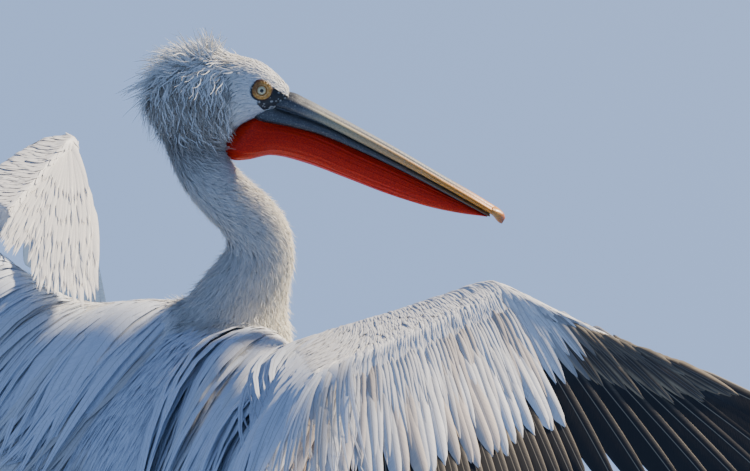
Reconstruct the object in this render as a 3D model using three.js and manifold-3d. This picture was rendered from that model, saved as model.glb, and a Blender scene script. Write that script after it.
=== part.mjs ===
// A life-size Dalmatian pelican, standing on both webbed feet with its wings half open and its
// head turned to its right. It is a still model: every piece is fixed.
//
// The bird faces -Y, its left is +X and +Z is up. The pieces are laid out from the neck's base,
// on the back between the shoulders, and the finished group is moved so that its origin lies on
// the floor under the middle of its bounding box. Lengths are millimetres and angles degrees.

import * as THREE from 'three';
import { mergeVertices } from 'three/addons/utils/BufferGeometryUtils.js';
import Module from 'manifold-3d';

const wasm = await Module();
wasm.setup();

// Driving dimensions
const gap = 0.3; // clearance between neighbouring pieces
const weldDistance = 1e-4; // points nearer than this are one point
const standHeight = 545; // floor to the neck's base
const headTurn = 223; // from +X to the way the bill points, seen from above

const trunk = { front: [0, -95, -104], length: 615, pitch: 24 };
const bill = { root: [72, 389], dip: 29.6 };
const eye = { radius: 10, place: [27, 398], side: 29.5 };

const arm = {
  shoulder: [112, 95, -62],
  upper: 366,
  fore: 385,
  hand: 290,
  patagiumRoot: 0.36, // share of the upper arm where the leading edge leaves it
  patagiumLift: 44, // of that place above the arm's own line
  noseLead: 17, // from the bones to the leading edge at the wrist
};
// Angles are [from sideways toward forward, above level]. The left patagium hangs slack and leaves
// a hole next to the elbow.
const wingPose = {
  left: {
    side: 1, upper: [-28.4, 26], fore: [66, 15], hand: [48, -42],
    foreLie: [0.6, 0.42, -0.68], outerSecondary: [0.69, 0.35, -0.635], foldedFan: 22, slack: 0.26,
  },
  right: {
    side: -1, upper: [-32.1, 16.7], fore: [81, 11], hand: [50, -24],
    foreLie: [0.62, 0.3, -0.72], outerSecondary: [0.58, -0.1, -0.8], foldedFan: 0, slack: 0,
  },
};
const lieAtShoulder = [-0.04, 0.88, -0.47]; // the way the scapulars point
const lieAtElbow = [0.24, 0.8, -0.55]; // the way the tertials point

const plumage = {
  scapular: 370,
  tertial: 390,
  secondary: 335,
  innerPrimary: 350,
  longestPrimary: 470,
  outerPrimary: 415,
  covertReach: 112, // from the bones to where the flight feathers' own plate begins
  handCovertReach: 62,
  edge: 2.6, // thickness of the vanes at their tips
  camber: 0.00022, // droop of a vane, per millimetre squared
};
const tail = { length: 205, spread: 25, rise: 12, feathers: 12, sunk: 60, halfRoot: 30 };
const leg = {
  hip: [82, 158, -268],
  ankle: [88, 244, -418],
  heel: [90, 190],
  thighRadius: 56,
  ankleRadius: 17,
  tarsusHalfWidth: 8,
  tarsusHalfDepth: 12,
};
const foot = { heelRadius: 15, heelHeight: 16, web: 3, toe: 9, turnOut: 9 };

// Small helpers
const radians = THREE.MathUtils.degToRad;
const vector = (values) => new THREE.Vector3(...values);
const across = new THREE.Vector3(0, 1, 0);

// A smooth curve through rows of numbers, each row starting with its place along the curve.
function rowAt(rows, place) {
  let i = 1;
  while (i < rows.length - 1 && rows[i][0] < place) i += 1;
  const [a, b] = [rows[i - 1], rows[i]];
  const before = rows[i - 2] ?? a;
  const after = rows[i + 1] ?? b;
  const span = b[0] - a[0];
  const t = THREE.MathUtils.clamp((place - a[0]) / span, 0, 1);
  return a.map((start, k) => {
    const slopeA = ((b[k] - before[k]) / (b[0] - before[0])) * span;
    const slopeB = ((after[k] - start) / (after[0] - a[0])) * span;
    const bend = (2 * t ** 3 - 3 * t ** 2 + 1) * start + (3 * t ** 2 - 2 * t ** 3) * b[k];
    return bend + (t ** 3 - 2 * t ** 2 + t) * slopeA + (t ** 3 - t ** 2) * slopeB;
  });
}

function sampled(from, to, steps, make) {
  return Array.from({ length: steps + 1 }, (_, i) => make(from + ((to - from) * i) / steps));
}

function indexed(points, triangles) {
  const geometry = new THREE.BufferGeometry();
  const places = points.flatMap((p) => [p.x, p.y, p.z]);
  geometry.setAttribute('position', new THREE.Float32BufferAttribute(places, 3));
  geometry.setIndex(triangles);
  return facingOut(geometry);
}

// Turns a closed surface the right way out by the sign of its volume.
function facingOut(geometry) {
  const place = geometry.getAttribute('position');
  const index = [...geometry.index.array];
  const [a, b, c] = [new THREE.Vector3(), new THREE.Vector3(), new THREE.Vector3()];
  let volume = 0;
  for (let i = 0; i < index.length; i += 3) {
    a.fromBufferAttribute(place, index[i]);
    b.fromBufferAttribute(place, index[i + 1]);
    c.fromBufferAttribute(place, index[i + 2]);
    volume += a.dot(b.cross(c));
  }
  if (volume < 0) index.reverse();
  geometry.setIndex(index);
  return geometry;
}

// A closed skin over rings of equal count, each end closed by a fan to its middle.
function loft(rings) {
  const sides = rings[0].length;
  const points = rings.flat();
  const triangles = [];
  for (let r = 0; r < rings.length - 1; r += 1) {
    for (let s = 0; s < sides; s += 1) {
      const [a, b] = [r * sides + s, r * sides + ((s + 1) % sides)];
      triangles.push(a, b, a + sides, b, b + sides, a + sides);
    }
  }
  const ends = [[rings[0], 0, true], [rings.at(-1), points.length - sides, false]];
  for (const [end, start, flip] of ends) {
    const middle = end.reduce((sum, p) => sum.add(p), new THREE.Vector3()).divideScalar(sides);
    const hub = points.push(middle) - 1;
    for (let s = 0; s < sides; s += 1) {
      const [a, b] = [start + s, start + ((s + 1) % sides)];
      triangles.push(hub, ...(flip ? [b, a] : [a, b]));
    }
  }
  return indexed(points, triangles);
}

// A closed plate over columns of upper and lower points.
function plate(columns) {
  const rows = columns[0].upper.length;
  const stride = rows * 2;
  const points = columns.flatMap((column) => [...column.upper, ...column.lower]);
  const triangles = [];
  const quad = (a, b, c, d) => triangles.push(a, b, c, a, c, d);
  for (let k = 0; k < columns.length - 1; k += 1) {
    const [here, next] = [k * stride, (k + 1) * stride];
    for (let r = 0; r < rows - 1; r += 1) {
      quad(here + r, here + r + 1, next + r + 1, next + r);
      quad(here + rows + r, next + rows + r, next + rows + r + 1, here + rows + r + 1);
    }
    quad(here, next, next + rows, here + rows);
    quad(here + rows - 1, here + stride - 1, next + stride - 1, next + rows - 1);
  }
  const last = (columns.length - 1) * stride;
  for (let r = 0; r < rows - 1; r += 1) {
    quad(r, r + rows, r + rows + 1, r + 1);
    quad(last + r, last + r + 1, last + r + rows + 1, last + r + rows);
  }
  return indexed(points, triangles);
}

// A ring in the XZ plane's own frame: up is its in-plane axis, and it is wide across that plane.
function ring(centre, up, top, bottom, side, sides, power = 2) {
  return Array.from({ length: sides }, (_, i) => {
    const turn = (2 * Math.PI * (i + 0.5)) / sides;
    const [c, s] = [Math.cos(turn), Math.sin(turn)];
    const height = Math.sign(c) * Math.abs(c) ** (2 / power) * (c > 0 ? top : bottom);
    const width = Math.sign(s) * Math.abs(s) ** (2 / power) * side;
    return centre.clone().addScaledVector(up, height).addScaledVector(across, width);
  });
}

function asSolid(geometry) {
  const bare = geometry.clone();
  bare.deleteAttribute('normal');
  bare.deleteAttribute('uv');
  const merged = mergeVertices(bare, weldDistance);
  const vertProperties = merged.getAttribute('position').array;
  const mesh = new wasm.Mesh({ numProp: 3, vertProperties, triVerts: merged.index.array });
  return new wasm.Manifold(mesh);
}

function asGeometry(solid) {
  const mesh = solid.getMesh();
  const geometry = new THREE.BufferGeometry();
  geometry.setAttribute('position', new THREE.Float32BufferAttribute(mesh.vertProperties, 3));
  geometry.setIndex([...mesh.triVerts]);
  return geometry;
}

// Cuts away the neighbours, and keeps the largest body left.
function cutBy(geometry, ...neighbours) {
  let solid = asSolid(geometry);
  for (const neighbour of neighbours) solid = solid.subtract(asSolid(neighbour));
  const bodies = solid.decompose();
  return asGeometry(bodies.reduce((most, body) => (body.volume() > most.volume() ? body : most)));
}

function piece(name, geometry, look) {
  const mesh = new THREE.Mesh(geometry, new THREE.MeshStandardMaterial({ metalness: 0, ...look }));
  mesh.name = name;
  return mesh;
}

const whitePlume = { color: 0xe8e6e0, roughness: 0.9 };
const greyPlume = { color: 0xc9cac8, roughness: 0.9 };
const blackPlume = { color: 0x2c2925, roughness: 0.75 };
const greyHorn = { color: 0x8f9193, roughness: 0.5 };
const orangeHorn = { color: 0xd98a3c, roughness: 0.45 };
const redPouch = { color: 0xa8180c, roughness: 0.5 };
const paleIris = { color: 0xe6cf8c, roughness: 0.15 };
const greySkin = { color: 0x4d5057, roughness: 0.7 };

// Trunk: [share of its length, half width, height above its axis, depth below it]
const trunkRows = [
  [0, 16, 14, 14], [0.035, 70, 74, 56], [0.11, 112, 142, 98], [0.24, 142, 192, 124],
  [0.4, 150, 184, 134], [0.56, 146, 160, 132], [0.71, 126, 126, 114], [0.84, 96, 80, 84],
  [0.94, 66, 46, 52], [1, 50, 28, 34],
];
const trunkEnds = 0.055; // how much closer together the rings stand toward both ends

function trunkShape(grow) {
  const lean = radians(trunk.pitch);
  const up = new THREE.Vector3(0, Math.sin(lean), Math.cos(lean));
  const back = new THREE.Vector3(0, Math.cos(lean), -Math.sin(lean));
  const sideways = new THREE.Vector3(1, 0, 0);
  const rings = sampled(0, 1, 14, (share) => {
    const eased = share - trunkEnds * Math.sin(2 * Math.PI * share);
    const [side, top, bottom] = rowAt(trunkRows, eased).slice(1).map((half) => half + grow);
    const reach = eased * trunk.length + (2 * share - 1) * grow;
    const centre = vector(trunk.front).addScaledVector(back, reach);
    const outline = ring(new THREE.Vector3(), sideways, top, bottom, side, 16, 2.15);
    return outline.map((p) => centre.clone().addScaledVector(up, p.x).addScaledVector(sideways, p.y));
  });
  return loft(rings);
}

// Neck, in the upright plane that holds the bill: [order, forward, height, half thickness]
const neckRows = [
  [0, -34, -90, 126], [1, -20, -4, 98], [2, 0, 54, 76], [3, 20, 97, 63.5], [4, 25, 134, 58],
  [5, 6, 170, 55], [6, -20, 196, 53], [7, -54, 230, 52], [8, -77, 272, 52], [9, -89, 314, 54],
  [10, -88, 352, 56],
];
const neckFlattening = 0.92; // its width against its thickness

function neckLength(from, to, steps, grow = 0) {
  const rings = sampled(from - grow / 40, to + grow / 40, steps, (place) => {
    const [, forward, height, half] = rowAt(neckRows, place);
    const [, forwardOn, heightOn] = rowAt(neckRows, place + 0.01);
    const [, forwardBack, heightBack] = rowAt(neckRows, place - 0.01);
    const along = new THREE.Vector3(forwardOn - forwardBack, 0, heightOn - heightBack).normalize();
    const up = new THREE.Vector3(-along.z, 0, along.x);
    const thick = half + grow;
    return ring(new THREE.Vector3(forward, 0, height), up, thick, thick, thick * neckFlattening, 14);
  });
  return loft(rings);
}

// Head, in the same plane: [forward, crown, throat, half width]
const headRows = [
  [-166, 378, 358, 12], [-152, 414, 336, 33], [-124, 444, 322, 45], [-84, 456, 313, 50],
  [-44, 458, 310, 50], [-4, 452, 332, 45], [26, 440, 349, 38.5], [52, 419, 361, 30],
  [73, 396, 369, 21],
];
const headEnds = 0.035; // how much closer together the rings stand toward both ends

function headShape() {
  const rings = sampled(0, 1, 11, (share) => {
    const eased = share - headEnds * Math.sin(2 * Math.PI * share);
    const forward = THREE.MathUtils.lerp(headRows[0][0], headRows.at(-1)[0], eased);
    const [, crown, throat, side] = rowAt(headRows, forward);
    const centre = new THREE.Vector3(forward, 0, (crown + throat) / 2);
    const half = (crown - throat) / 2;
    return ring(centre, new THREE.Vector3(0, 0, 1), half, half, side, 14, 2.1);
  });
  return loft(rings);
}

// The shaggy crest stands off the back of the head:
// [root forward, root height, tip forward, tip height, side]
const crestTufts = [
  [-40, 442, -78, 479, 6], [-66, 440, -112, 472, -14], [-84, 436, -132, 466, 10],
  [-100, 428, -152, 440, -6], [-112, 418, -168, 424, 18], [-122, 404, -202, 384, 0],
  [-124, 396, -180, 404, -20], [-126, 378, -184, 362, 12],
];
const tuft = { root: 17, tip: 1.2, flattening: 0.8, sag: 0.08 }; // half thicknesses, and shares

function crestTuft([rootForward, rootHeight, tipForward, tipHeight, side]) {
  const root = new THREE.Vector3(rootForward, side, rootHeight);
  const tip = new THREE.Vector3(tipForward, side * 1.5, tipHeight);
  const along = tip.clone().sub(root).normalize();
  const up = new THREE.Vector3(-along.z, 0, along.x);
  const sag = root.distanceTo(tip) * tuft.sag;
  const rings = sampled(0, 1, 2, (share) => {
    const centre = root.clone().lerp(tip, share).addScaledVector(up, sag * Math.sin(Math.PI * share));
    const half = THREE.MathUtils.lerp(tuft.root, tuft.tip, share);
    return ring(centre, up, half, half, half * tuft.flattening, 4);
  });
  return loft(rings);
}

// Bill, in its own frame: x along it from the forehead and z above it.
// Upper bill: [x, top, underside, half width]
const upperBillRows = [
  [-16, -22, -34, 21], [0, -2, -30.5, 26], [30, 2.2, -25, 26], [70, 3, -19.6, 22],
  [140, 3.4, -17, 18], [215, 3, -15, 16], [295, 1, -14, 16.5], [350, 0, -14, 18],
  [392, -2, -15, 16.5],
];
// Nail, the hook at its end
const nailRows = [
  [392.3, -2.2, -15, 16.4], [404, -2.6, -18, 13], [412, -4, -20.5, 9], [418, -8.5, -20, 4],
];
// Lower bill: [x, top, underside, half width]
const lowerBillRows = [
  [-22, -37, -68, 20], [0, -33.5, -60, 24.5], [30, -27.5, -49.5, 25.5], [80, -20.5, -37, 21],
  [155, -17, -28.6, 17], [230, -15.2, -23.8, 15], [310, -14.6, -21.6, 16],
  [370, -15.2, -19.8, 17], [392, -16.2, -19.4, 15],
];
// Pouch: [x, top, underside, half width]
const pouchRows = [
  [-49, -118, -130, 8], [-42, -92, -142, 20], [-26, -74, -147, 27], [-4, -64, -134, 30],
  [26, -52, -108, 28], [78, -38, -92, 23.5], [150, -29.6, -81, 19], [222, -24.6, -71, 15.5],
  [290, -22.4, -57.5, 12.5], [350, -21.2, -39, 10], [390, -20.3, -23, 6],
];

function billLoft(rows, steps, sides, power) {
  const dip = radians(bill.dip);
  const along = new THREE.Vector3(Math.cos(dip), 0, -Math.sin(dip));
  const up = new THREE.Vector3(Math.sin(dip), 0, Math.cos(dip));
  const root = new THREE.Vector3(bill.root[0], 0, bill.root[1]);
  const rings = sampled(rows[0][0], rows.at(-1)[0], steps, (x) => {
    const [, top, bottom, side] = rowAt(rows, x);
    const centre = root.clone().addScaledVector(along, x).addScaledVector(up, (top + bottom) / 2);
    return ring(centre, up, (top - bottom) / 2, (top - bottom) / 2, side, sides, power);
  });
  return loft(rings);
}

function eyeShape(side, radius) {
  const ball = new THREE.SphereGeometry(radius, 10, 8);
  ball.rotateX(Math.PI / 2);
  ball.translate(eye.place[0], side * eye.side, eye.place[1]);
  return mergeVertices(bareOf(ball), weldDistance);
}

function bareOf(geometry) {
  geometry.deleteAttribute('normal');
  geometry.deleteAttribute('uv');
  return geometry;
}

// Wings. A wing is a thin shell ruled by the lie of its feathers. Its place along the arm runs
// from 0 at the shoulder through 1 at the elbow and 2 at the wrist to 3 at the fingertips, and its
// reach is the distance behind the bones, or ahead of them where it is negative.
function wingFrame(pose) {
  const mirrored = ([x, y, z]) => new THREE.Vector3(pose.side * x, y, z);
  const toward = ([turn, rise]) => {
    const [a, e] = [radians(turn), radians(rise)];
    return mirrored([Math.cos(e) * Math.cos(a), -Math.cos(e) * Math.sin(a), Math.sin(e)]);
  };
  const shoulder = new THREE.Vector3();
  const elbow = toward(pose.upper).multiplyScalar(arm.upper);
  const wrist = elbow.clone().addScaledVector(toward(pose.fore), arm.fore);
  const handLine = toward(pose.hand);
  const fingers = wrist.clone().addScaledVector(handLine, arm.hand);
  const joints = [shoulder, elbow, wrist, fingers];
  const outerSecondary = mirrored(pose.outerSecondary).normalize();
  const trailing = outerSecondary.clone().projectOnPlane(handLine).normalize();
  const fan = radians(pose.foldedFan);
  const folded = handLine.clone().multiplyScalar(Math.cos(fan));
  folded.addScaledVector(trailing, Math.sin(fan));
  const innerPrimary = pose.foldedFan > 0 ? folded : outerSecondary;
  const lies = [lieAtShoulder, lieAtElbow, pose.foreLie].map((lie) => mirrored(lie).normalize());

  const bone = (place) => {
    const k = Math.min(Math.floor(place), 2);
    return joints[k].clone().lerp(joints[k + 1], place - k);
  };
  const lie = (place, onHand) => {
    if (onHand) {
      const spread = Math.min(place - 2, 1) ** 0.85;
      return innerPrimary.clone().lerp(handLine, spread).normalize();
    }
    if (place < 1) return lies[0].clone().lerp(lies[1], place).normalize();
    const share = place - 1;
    const first = lies[1].clone().lerp(lies[2], Math.min(2.4 * share, 1));
    return first.lerp(outerSecondary, Math.max(2 * share - 1, 0)).normalize();
  };
  const root = shoulder.clone().lerp(elbow, arm.patagiumRoot);
  root.z += arm.patagiumLift;
  const nose = (place, onHand) => {
    const swell = 1 + 0.5 * Math.exp(-(((place - 2) / 0.3) ** 2));
    const share = place - 2;
    const bulge = onHand ? 1 + 0.75 * Math.sin(Math.PI * share) - 0.45 * share : 1;
    const lead = arm.noseLead * swell * bulge;
    const edge = onHand ? bone(place) : root.clone().lerp(wrist, place - 1);
    return edge.addScaledVector(lie(place, onHand), -lead);
  };

  // A reach of -1 is the leading edge, 0 the bones, and more is millimetres behind them.
  const surface = (place, reach, onHand) => {
    const from = bone(place);
    if (reach < 0) return from.lerp(nose(place, onHand), -reach);
    return from.addScaledVector(lie(place, onHand), reach);
  };
  const flat = (place, onHand) => {
    const low = onHand ? THREE.MathUtils.clamp(place - 0.02, 2, 2.96) : Math.min(place, 1.96);
    const along = surface(low + 0.04, 60, onHand).sub(surface(low, 60, onHand));
    return lie(place, onHand).cross(along).normalize().multiplyScalar(-pose.side);
  };
  // An open hand carries on from the forearm without a step; a folded one does not.
  const normal = (place, onHand) => {
    if (pose.foldedFan > 0) return flat(place, onHand);
    const nearWrist = Math.max(1 - Math.abs(place - 2) / 0.25, 0);
    const atWrist = flat(2, false).add(flat(2, true)).normalize();
    return flat(place, onHand).lerp(atWrist, nearWrist).normalize();
  };
  return { joints, surface, normal };
}

// The upper and lower point of a wing plate at one place and reach.
function wingPoint(frame, place, onHand, reach, thickness) {
  const out = frame.normal(place, onHand);
  const droop = plumage.camber * Math.max(reach, 0) ** 2;
  const middle = frame.surface(place, reach, onHand).addScaledVector(out, -droop);
  return [thickness / 2, -thickness / 2].map((side) => middle.clone().addScaledVector(out, side));
}

function columnOf(pairs) {
  return { upper: pairs.map((pair) => pair[0]), lower: pairs.map((pair) => pair[1]) };
}

// One column of a wing plate: reaches from front to back, with the thickness at each.
function wingColumn(frame, place, onHand, reaches, thickness) {
  return columnOf(reaches.map((reach, k) => wingPoint(frame, place, onHand, reach, thickness[k])));
}

const foldGap = 1.5; // clearance round the forearm, which the hand folds against
const jointGap = 0.01; // clearance at the elbow and wrist, as a share of the bone
const armStart = 1 + jointGap;
const armEnd = 2 - jointGap;
const boneThickness = { elbow: 54, wrist: 42 }; // of the feathered wing over its bones
const flightRoot = 9; // thickness of the flight feathers' plate where it begins

// The tips of a row of feathers: 1 at each tip, less between two of them.
function tipOutline(share, feathers, notch) {
  const phase = (share * feathers) % 1;
  return 1 - notch * Math.abs(2 * phase - 1) ** 2.5;
}

// Upper arm with its feathers: [share from shoulder to elbow, half thickness, rise over the bone]
const upperArmRows = [
  [-0.12, 62, 8], [0, 80, 20], [0.17, 70, 8], [0.4, 43, -24], [0.6, 36, -27],
  [0.82, 32, -14], [0.94, 28, -4], [1.02, 17, 0], [1.05, 6, 0],
];

function upperArm(frame, grow) {
  const [from, to] = frame.joints;
  const along = to.clone().sub(from).normalize();
  const side = along.clone().cross(new THREE.Vector3(0, 0, 1)).normalize();
  const up = side.clone().cross(along).normalize();
  const sides = 12;
  const rings = sampled(upperArmRows[0][0], upperArmRows.at(-1)[0], 10, (share) => {
    const [, thick, rise] = rowAt(upperArmRows, share);
    const centre = from.clone().lerp(to, share).addScaledVector(up, rise);
    return Array.from({ length: sides }, (_, i) => {
      const turn = (2 * Math.PI * i) / sides;
      const height = (thick + grow) * Math.cos(turn);
      const width = (thick + grow) * Math.sin(turn);
      return centre.clone().addScaledVector(up, height).addScaledVector(side, width);
    });
  });
  return loft(rings);
}

function tertials(frame) {
  const feathers = 8;
  return plate(sampled(0.05, armEnd - 1, feathers * 2, (place) => {
    const whole = THREE.MathUtils.lerp(plumage.scapular, plumage.tertial, place);
    const length = whole * tipOutline(place, feathers, 0.08);
    return wingColumn(frame, place, false, [4, 80, length], [44, 20, plumage.edge]);
  }));
}

function patagium(frame, slack, grow) {
  return plate(sampled(0, 1 + grow / arm.fore, 8, (share) => {
    const bones = THREE.MathUtils.lerp(boneThickness.elbow, boneThickness.wrist, share);
    const thickness = [2, 15 + 9 * share, 16 + 14 * share, bones * 0.75, bones];
    const reaches = [-1, -0.97 + 0.12 * share, -0.85 + 0.3 * share, -0.3, -0.02];
    return columnOf(reaches.map((reach, k) => {
      const slackened = share + slack * (1 - share) * (1 + reach);
      const place = THREE.MathUtils.lerp(armStart, armEnd, slackened);
      return wingPoint(frame, place, false, reach, thickness[k] + 2 * grow);
    }));
  }));
}

function forearm(frame, grow) {
  return plate(sampled(armStart, armEnd + grow / arm.fore, 8, (place) => {
    const bones = THREE.MathUtils.lerp(boneThickness.elbow, boneThickness.wrist, place - 1);
    const thickness = [bones, 26, 9].map((part) => part + 2 * grow);
    const reaches = [-grow / arm.noseLead, 42, plumage.covertReach + grow];
    return wingColumn(frame, place, false, reaches, thickness);
  }));
}

function secondaries(frame, grow) {
  const feathers = 15;
  return plate(sampled(armStart, armEnd + grow / arm.fore, feathers * 2, (place) => {
    const share = (place - armStart) / (armEnd - armStart);
    const whole = THREE.MathUtils.lerp(plumage.tertial, plumage.secondary, Math.min(share * 3, 1));
    const length = whole * tipOutline(share, feathers, 0.06);
    const reaches = [plumage.covertReach + gap - grow, 200, length + grow];
    const thickness = [flightRoot, 6, plumage.edge].map((part) => part + 2 * grow);
    return wingColumn(frame, place, false, reaches, thickness);
  }));
}

function hand(frame, grow) {
  return plate(sampled(2, 3, 8, (place) => {
    const share = place - 2;
    const bones = THREE.MathUtils.lerp(40, 13, share);
    const thickness = [2, bones * 0.7, bones, bones * 0.6, flightRoot - 4 * share];
    const reaches = [-1, -0.8, 0, 30, plumage.handCovertReach + grow];
    return wingColumn(frame, place, true, reaches, thickness.map((part) => part + 2 * grow));
  }));
}

// Lengths of the primaries: [share of the hand, length]
const primaryRows = [
  [0, plumage.innerPrimary], [0.72, plumage.longestPrimary], [1, plumage.outerPrimary],
];

function primaries(frame) {
  const feathers = 10;
  return plate(sampled(2, 3, feathers * 2, (place) => {
    const share = place - 2;
    const notch = THREE.MathUtils.lerp(0.08, 0.3, share);
    const length = rowAt(primaryRows, share)[1] * tipOutline(share, feathers, notch);
    const reaches = [plumage.handCovertReach + gap, 0.72 * length, length];
    return wingColumn(frame, place, true, reaches, [flightRoot - 4 * share, 4, plumage.edge]);
  }));
}

// A neighbour's shape, moved into a group's own frame.
function within(group, geometry) {
  return geometry.clone().translate(...group.position.clone().negate().toArray());
}

function wing(name, pose, trunkCutter, neckCutter) {
  const frame = wingFrame(pose);
  const group = new THREE.Group();
  group.position.set(pose.side * arm.shoulder[0], arm.shoulder[1], arm.shoulder[2]);
  const [body, neck] = [trunkCutter, neckCutter].map((cutter) => within(group, cutter));
  const limb = upperArm(frame, gap);
  const roundForearm = forearm(frame, foldGap);
  const web = patagium(frame, pose.slack, 0);
  const inner = [patagium(frame, pose.slack, foldGap), roundForearm, secondaries(frame, foldGap)];
  const roundHand = hand(frame, foldGap);
  const parts = [
    ['upper_arm', cutBy(upperArm(frame, 0), body, neck), whitePlume],
    ['tertials', cutBy(tertials(frame), limb, body, roundForearm), greyPlume],
    ['patagium', cutBy(web, limb, body), whitePlume],
    ['forearm', cutBy(forearm(frame, 0), limb), whitePlume],
    ['secondaries', secondaries(frame, 0), blackPlume],
    ['hand', cutBy(hand(frame, 0), ...inner), whitePlume],
    ['primaries', cutBy(primaries(frame), roundHand, ...inner), blackPlume],
  ];
  for (const [part, geometry, look] of parts) group.add(piece(`${part}_${name}`, geometry, look));
  return group;
}

// Tail: a short rounded fan of stiff feathers, arched across.
function tailShape() {
  const lean = radians(tail.rise);
  const back = new THREE.Vector3(0, Math.cos(lean), -Math.sin(lean));
  const up = new THREE.Vector3(0, Math.sin(lean), Math.cos(lean));
  const pitch = radians(trunk.pitch);
  const trunkLine = new THREE.Vector3(0, Math.cos(pitch), -Math.sin(pitch));
  const root = vector(trunk.front).addScaledVector(trunkLine, trunk.length - tail.sunk);
  root.addScaledVector(up, 6);
  return plate(sampled(-1, 1, tail.feathers * 2, (share) => {
    const turn = radians(tail.spread * share);
    const whole = (tail.sunk + tail.length) * (1 - 0.1 * share * share);
    const length = whole * tipOutline((share + 1) / 2, tail.feathers, 0.06);
    const rows = [[0, 34], [80, 24], [length, plumage.edge]];
    return columnOf(rows.map(([reach, thickness]) => {
      const middle = root.clone().addScaledVector(back, reach * Math.cos(turn));
      middle.x += share * tail.halfRoot + reach * Math.sin(turn);
      middle.addScaledVector(up, -(10 + reach / 9) * share * share);
      return [thickness / 2, -thickness / 2].map((side) => middle.clone().addScaledVector(up, side));
    }));
  }));
}

// Legs
function limbLoft(from, to, rows, sides) {
  const along = to.clone().sub(from).normalize();
  const side = new THREE.Vector3(1, 0, 0).addScaledVector(along, -along.x).normalize();
  const up = side.clone().cross(along);
  const rings = rows.map(([share, deep, wide]) => {
    const centre = from.clone().lerp(to, share);
    return Array.from({ length: sides }, (_, i) => {
      const turn = (2 * Math.PI * i) / sides;
      const point = centre.clone().addScaledVector(up, deep * Math.cos(turn));
      return point.addScaledVector(side, wide * Math.sin(turn));
    });
  });
  return loft(rings);
}

// Foot: four toes joined by one web, drawn around the heel:
// [turn from ahead toward the body, length]
const toes = [[-20, 118], [0, 128], [24, 104], [96, 58]];

function footShape(side) {
  const outline = [];
  toes.forEach(([turn, length], k) => {
    outline.push([turn - 5, length * 0.93, 0.4], [turn, length, 1], [turn + 5, length * 0.93, 0.4]);
    if (k === toes.length - 1) return;
    const [nextTurn, nextLength] = toes[k + 1];
    const hollow = nextTurn > 90 ? 0.72 : 0.86;
    outline.push([(turn + nextTurn) / 2, 0.5 * (length + nextLength) * hollow, 0]);
  });
  const columns = outline.map(([turn, length, ridge]) => {
    const angle = radians(turn - foot.turnOut);
    const ahead = new THREE.Vector3(-side * Math.sin(angle), -Math.cos(angle), 0);
    const rise = ridge * foot.toe;
    const rows = [
      [3, foot.heelHeight * 0.6], [0.45 * length, foot.web + rise],
      [0.8 * length, foot.web + rise * 0.7], [length, foot.web],
    ];
    return columnOf(rows.map(([reach, height]) => {
      const sole = ahead.clone().multiplyScalar(reach);
      return [sole.clone().setZ(height), sole];
    }));
  });
  const { heelRadius, heelHeight } = foot;
  const heel = bareOf(new THREE.CylinderGeometry(heelRadius * 0.8, heelRadius, heelHeight, 10));
  heel.rotateX(Math.PI / 2);
  heel.translate(0, 0, foot.heelHeight / 2);
  return asGeometry(asSolid(plate(columns)).add(asSolid(mergeVertices(heel, weldDistance))));
}

// Thigh and tarsus: [share from top to bottom, half depth, half width]
const thighRows = [
  [0, 52, 46], [0.3, leg.thighRadius, 50], [0.62, 40, 34], [0.86, 22, 19], [1, leg.ankleRadius, 14],
];
const tarsusRows = [
  [0, leg.ankleRadius, 13], [0.12, leg.tarsusHalfDepth, leg.tarsusHalfWidth + 2],
  [0.8, leg.tarsusHalfDepth - 1, leg.tarsusHalfWidth],
  [1, leg.tarsusHalfDepth, leg.tarsusHalfWidth + 2],
];

function legGroup(name, side, trunkCutter) {
  const group = new THREE.Group();
  const floor = -standHeight;
  group.position.set(side * leg.heel[0], leg.heel[1], floor);
  const local = ([x, y, z]) => new THREE.Vector3(side * x, y, z).sub(group.position);
  const [hip, ankle] = [local(leg.hip), local(leg.ankle)];
  const heelTop = new THREE.Vector3(0, 0, foot.heelHeight + gap);
  const thigh = cutBy(limbLoft(hip, ankle, thighRows, 14), within(group, trunkCutter));
  const thighGrown = thighRows.map(([share, deep, wide]) => [share, deep + gap, wide + gap]);
  const thighCutter = limbLoft(hip, ankle, thighGrown, 14);
  const tarsus = limbLoft(ankle.clone().lerp(heelTop, 0.015), heelTop, tarsusRows, 12);
  // cuts the tarsus level with the top of the heel
  const slab = bareOf(new THREE.BoxGeometry(200, 200, 40)).translate(0, 0, heelTop.z - 20);
  const shank = cutBy(tarsus, thighCutter, mergeVertices(slab, weldDistance));
  group.add(piece(`thigh_${name}`, thigh, whitePlume));
  group.add(piece(`tarsus_${name}`, shank, greySkin));
  group.add(piece(`foot_${name}`, footShape(side), greySkin));
  return group;
}

// The bird
const model = new THREE.Group();
const trunkCutter = trunkShape(gap);
model.add(piece('trunk', trunkShape(0), whitePlume));
model.add(piece('tail', cutBy(tailShape(), trunkCutter), greyPlume));

const headGroup = new THREE.Group();
headGroup.rotation.z = radians(headTurn);
const headFrameTrunk = trunkCutter.clone().rotateZ(-radians(headTurn));
const grown = (rows) => rows.map(([x, top, bottom, side]) => [x, top + gap, bottom - gap, side + gap]);
const hornForm = [10, 12, 2.6]; // steps along it, sides, and how square its section is
const pouchForm = [12, 12, 2.1];
const upperBillCutter = billLoft(grown(upperBillRows), ...hornForm);
const lowerBillCutter = billLoft(grown(lowerBillRows), ...hornForm);
const pouchCutter = billLoft(grown(pouchRows), ...pouchForm);
// [where along neckRows each length begins and ends, steps]; the upper one ends inside the head
const neckSpans = { lower: [0.2, 3.59, 6], middle: [3.6, 6.79, 6], upper: [6.8, 9.3, 5] };

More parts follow.
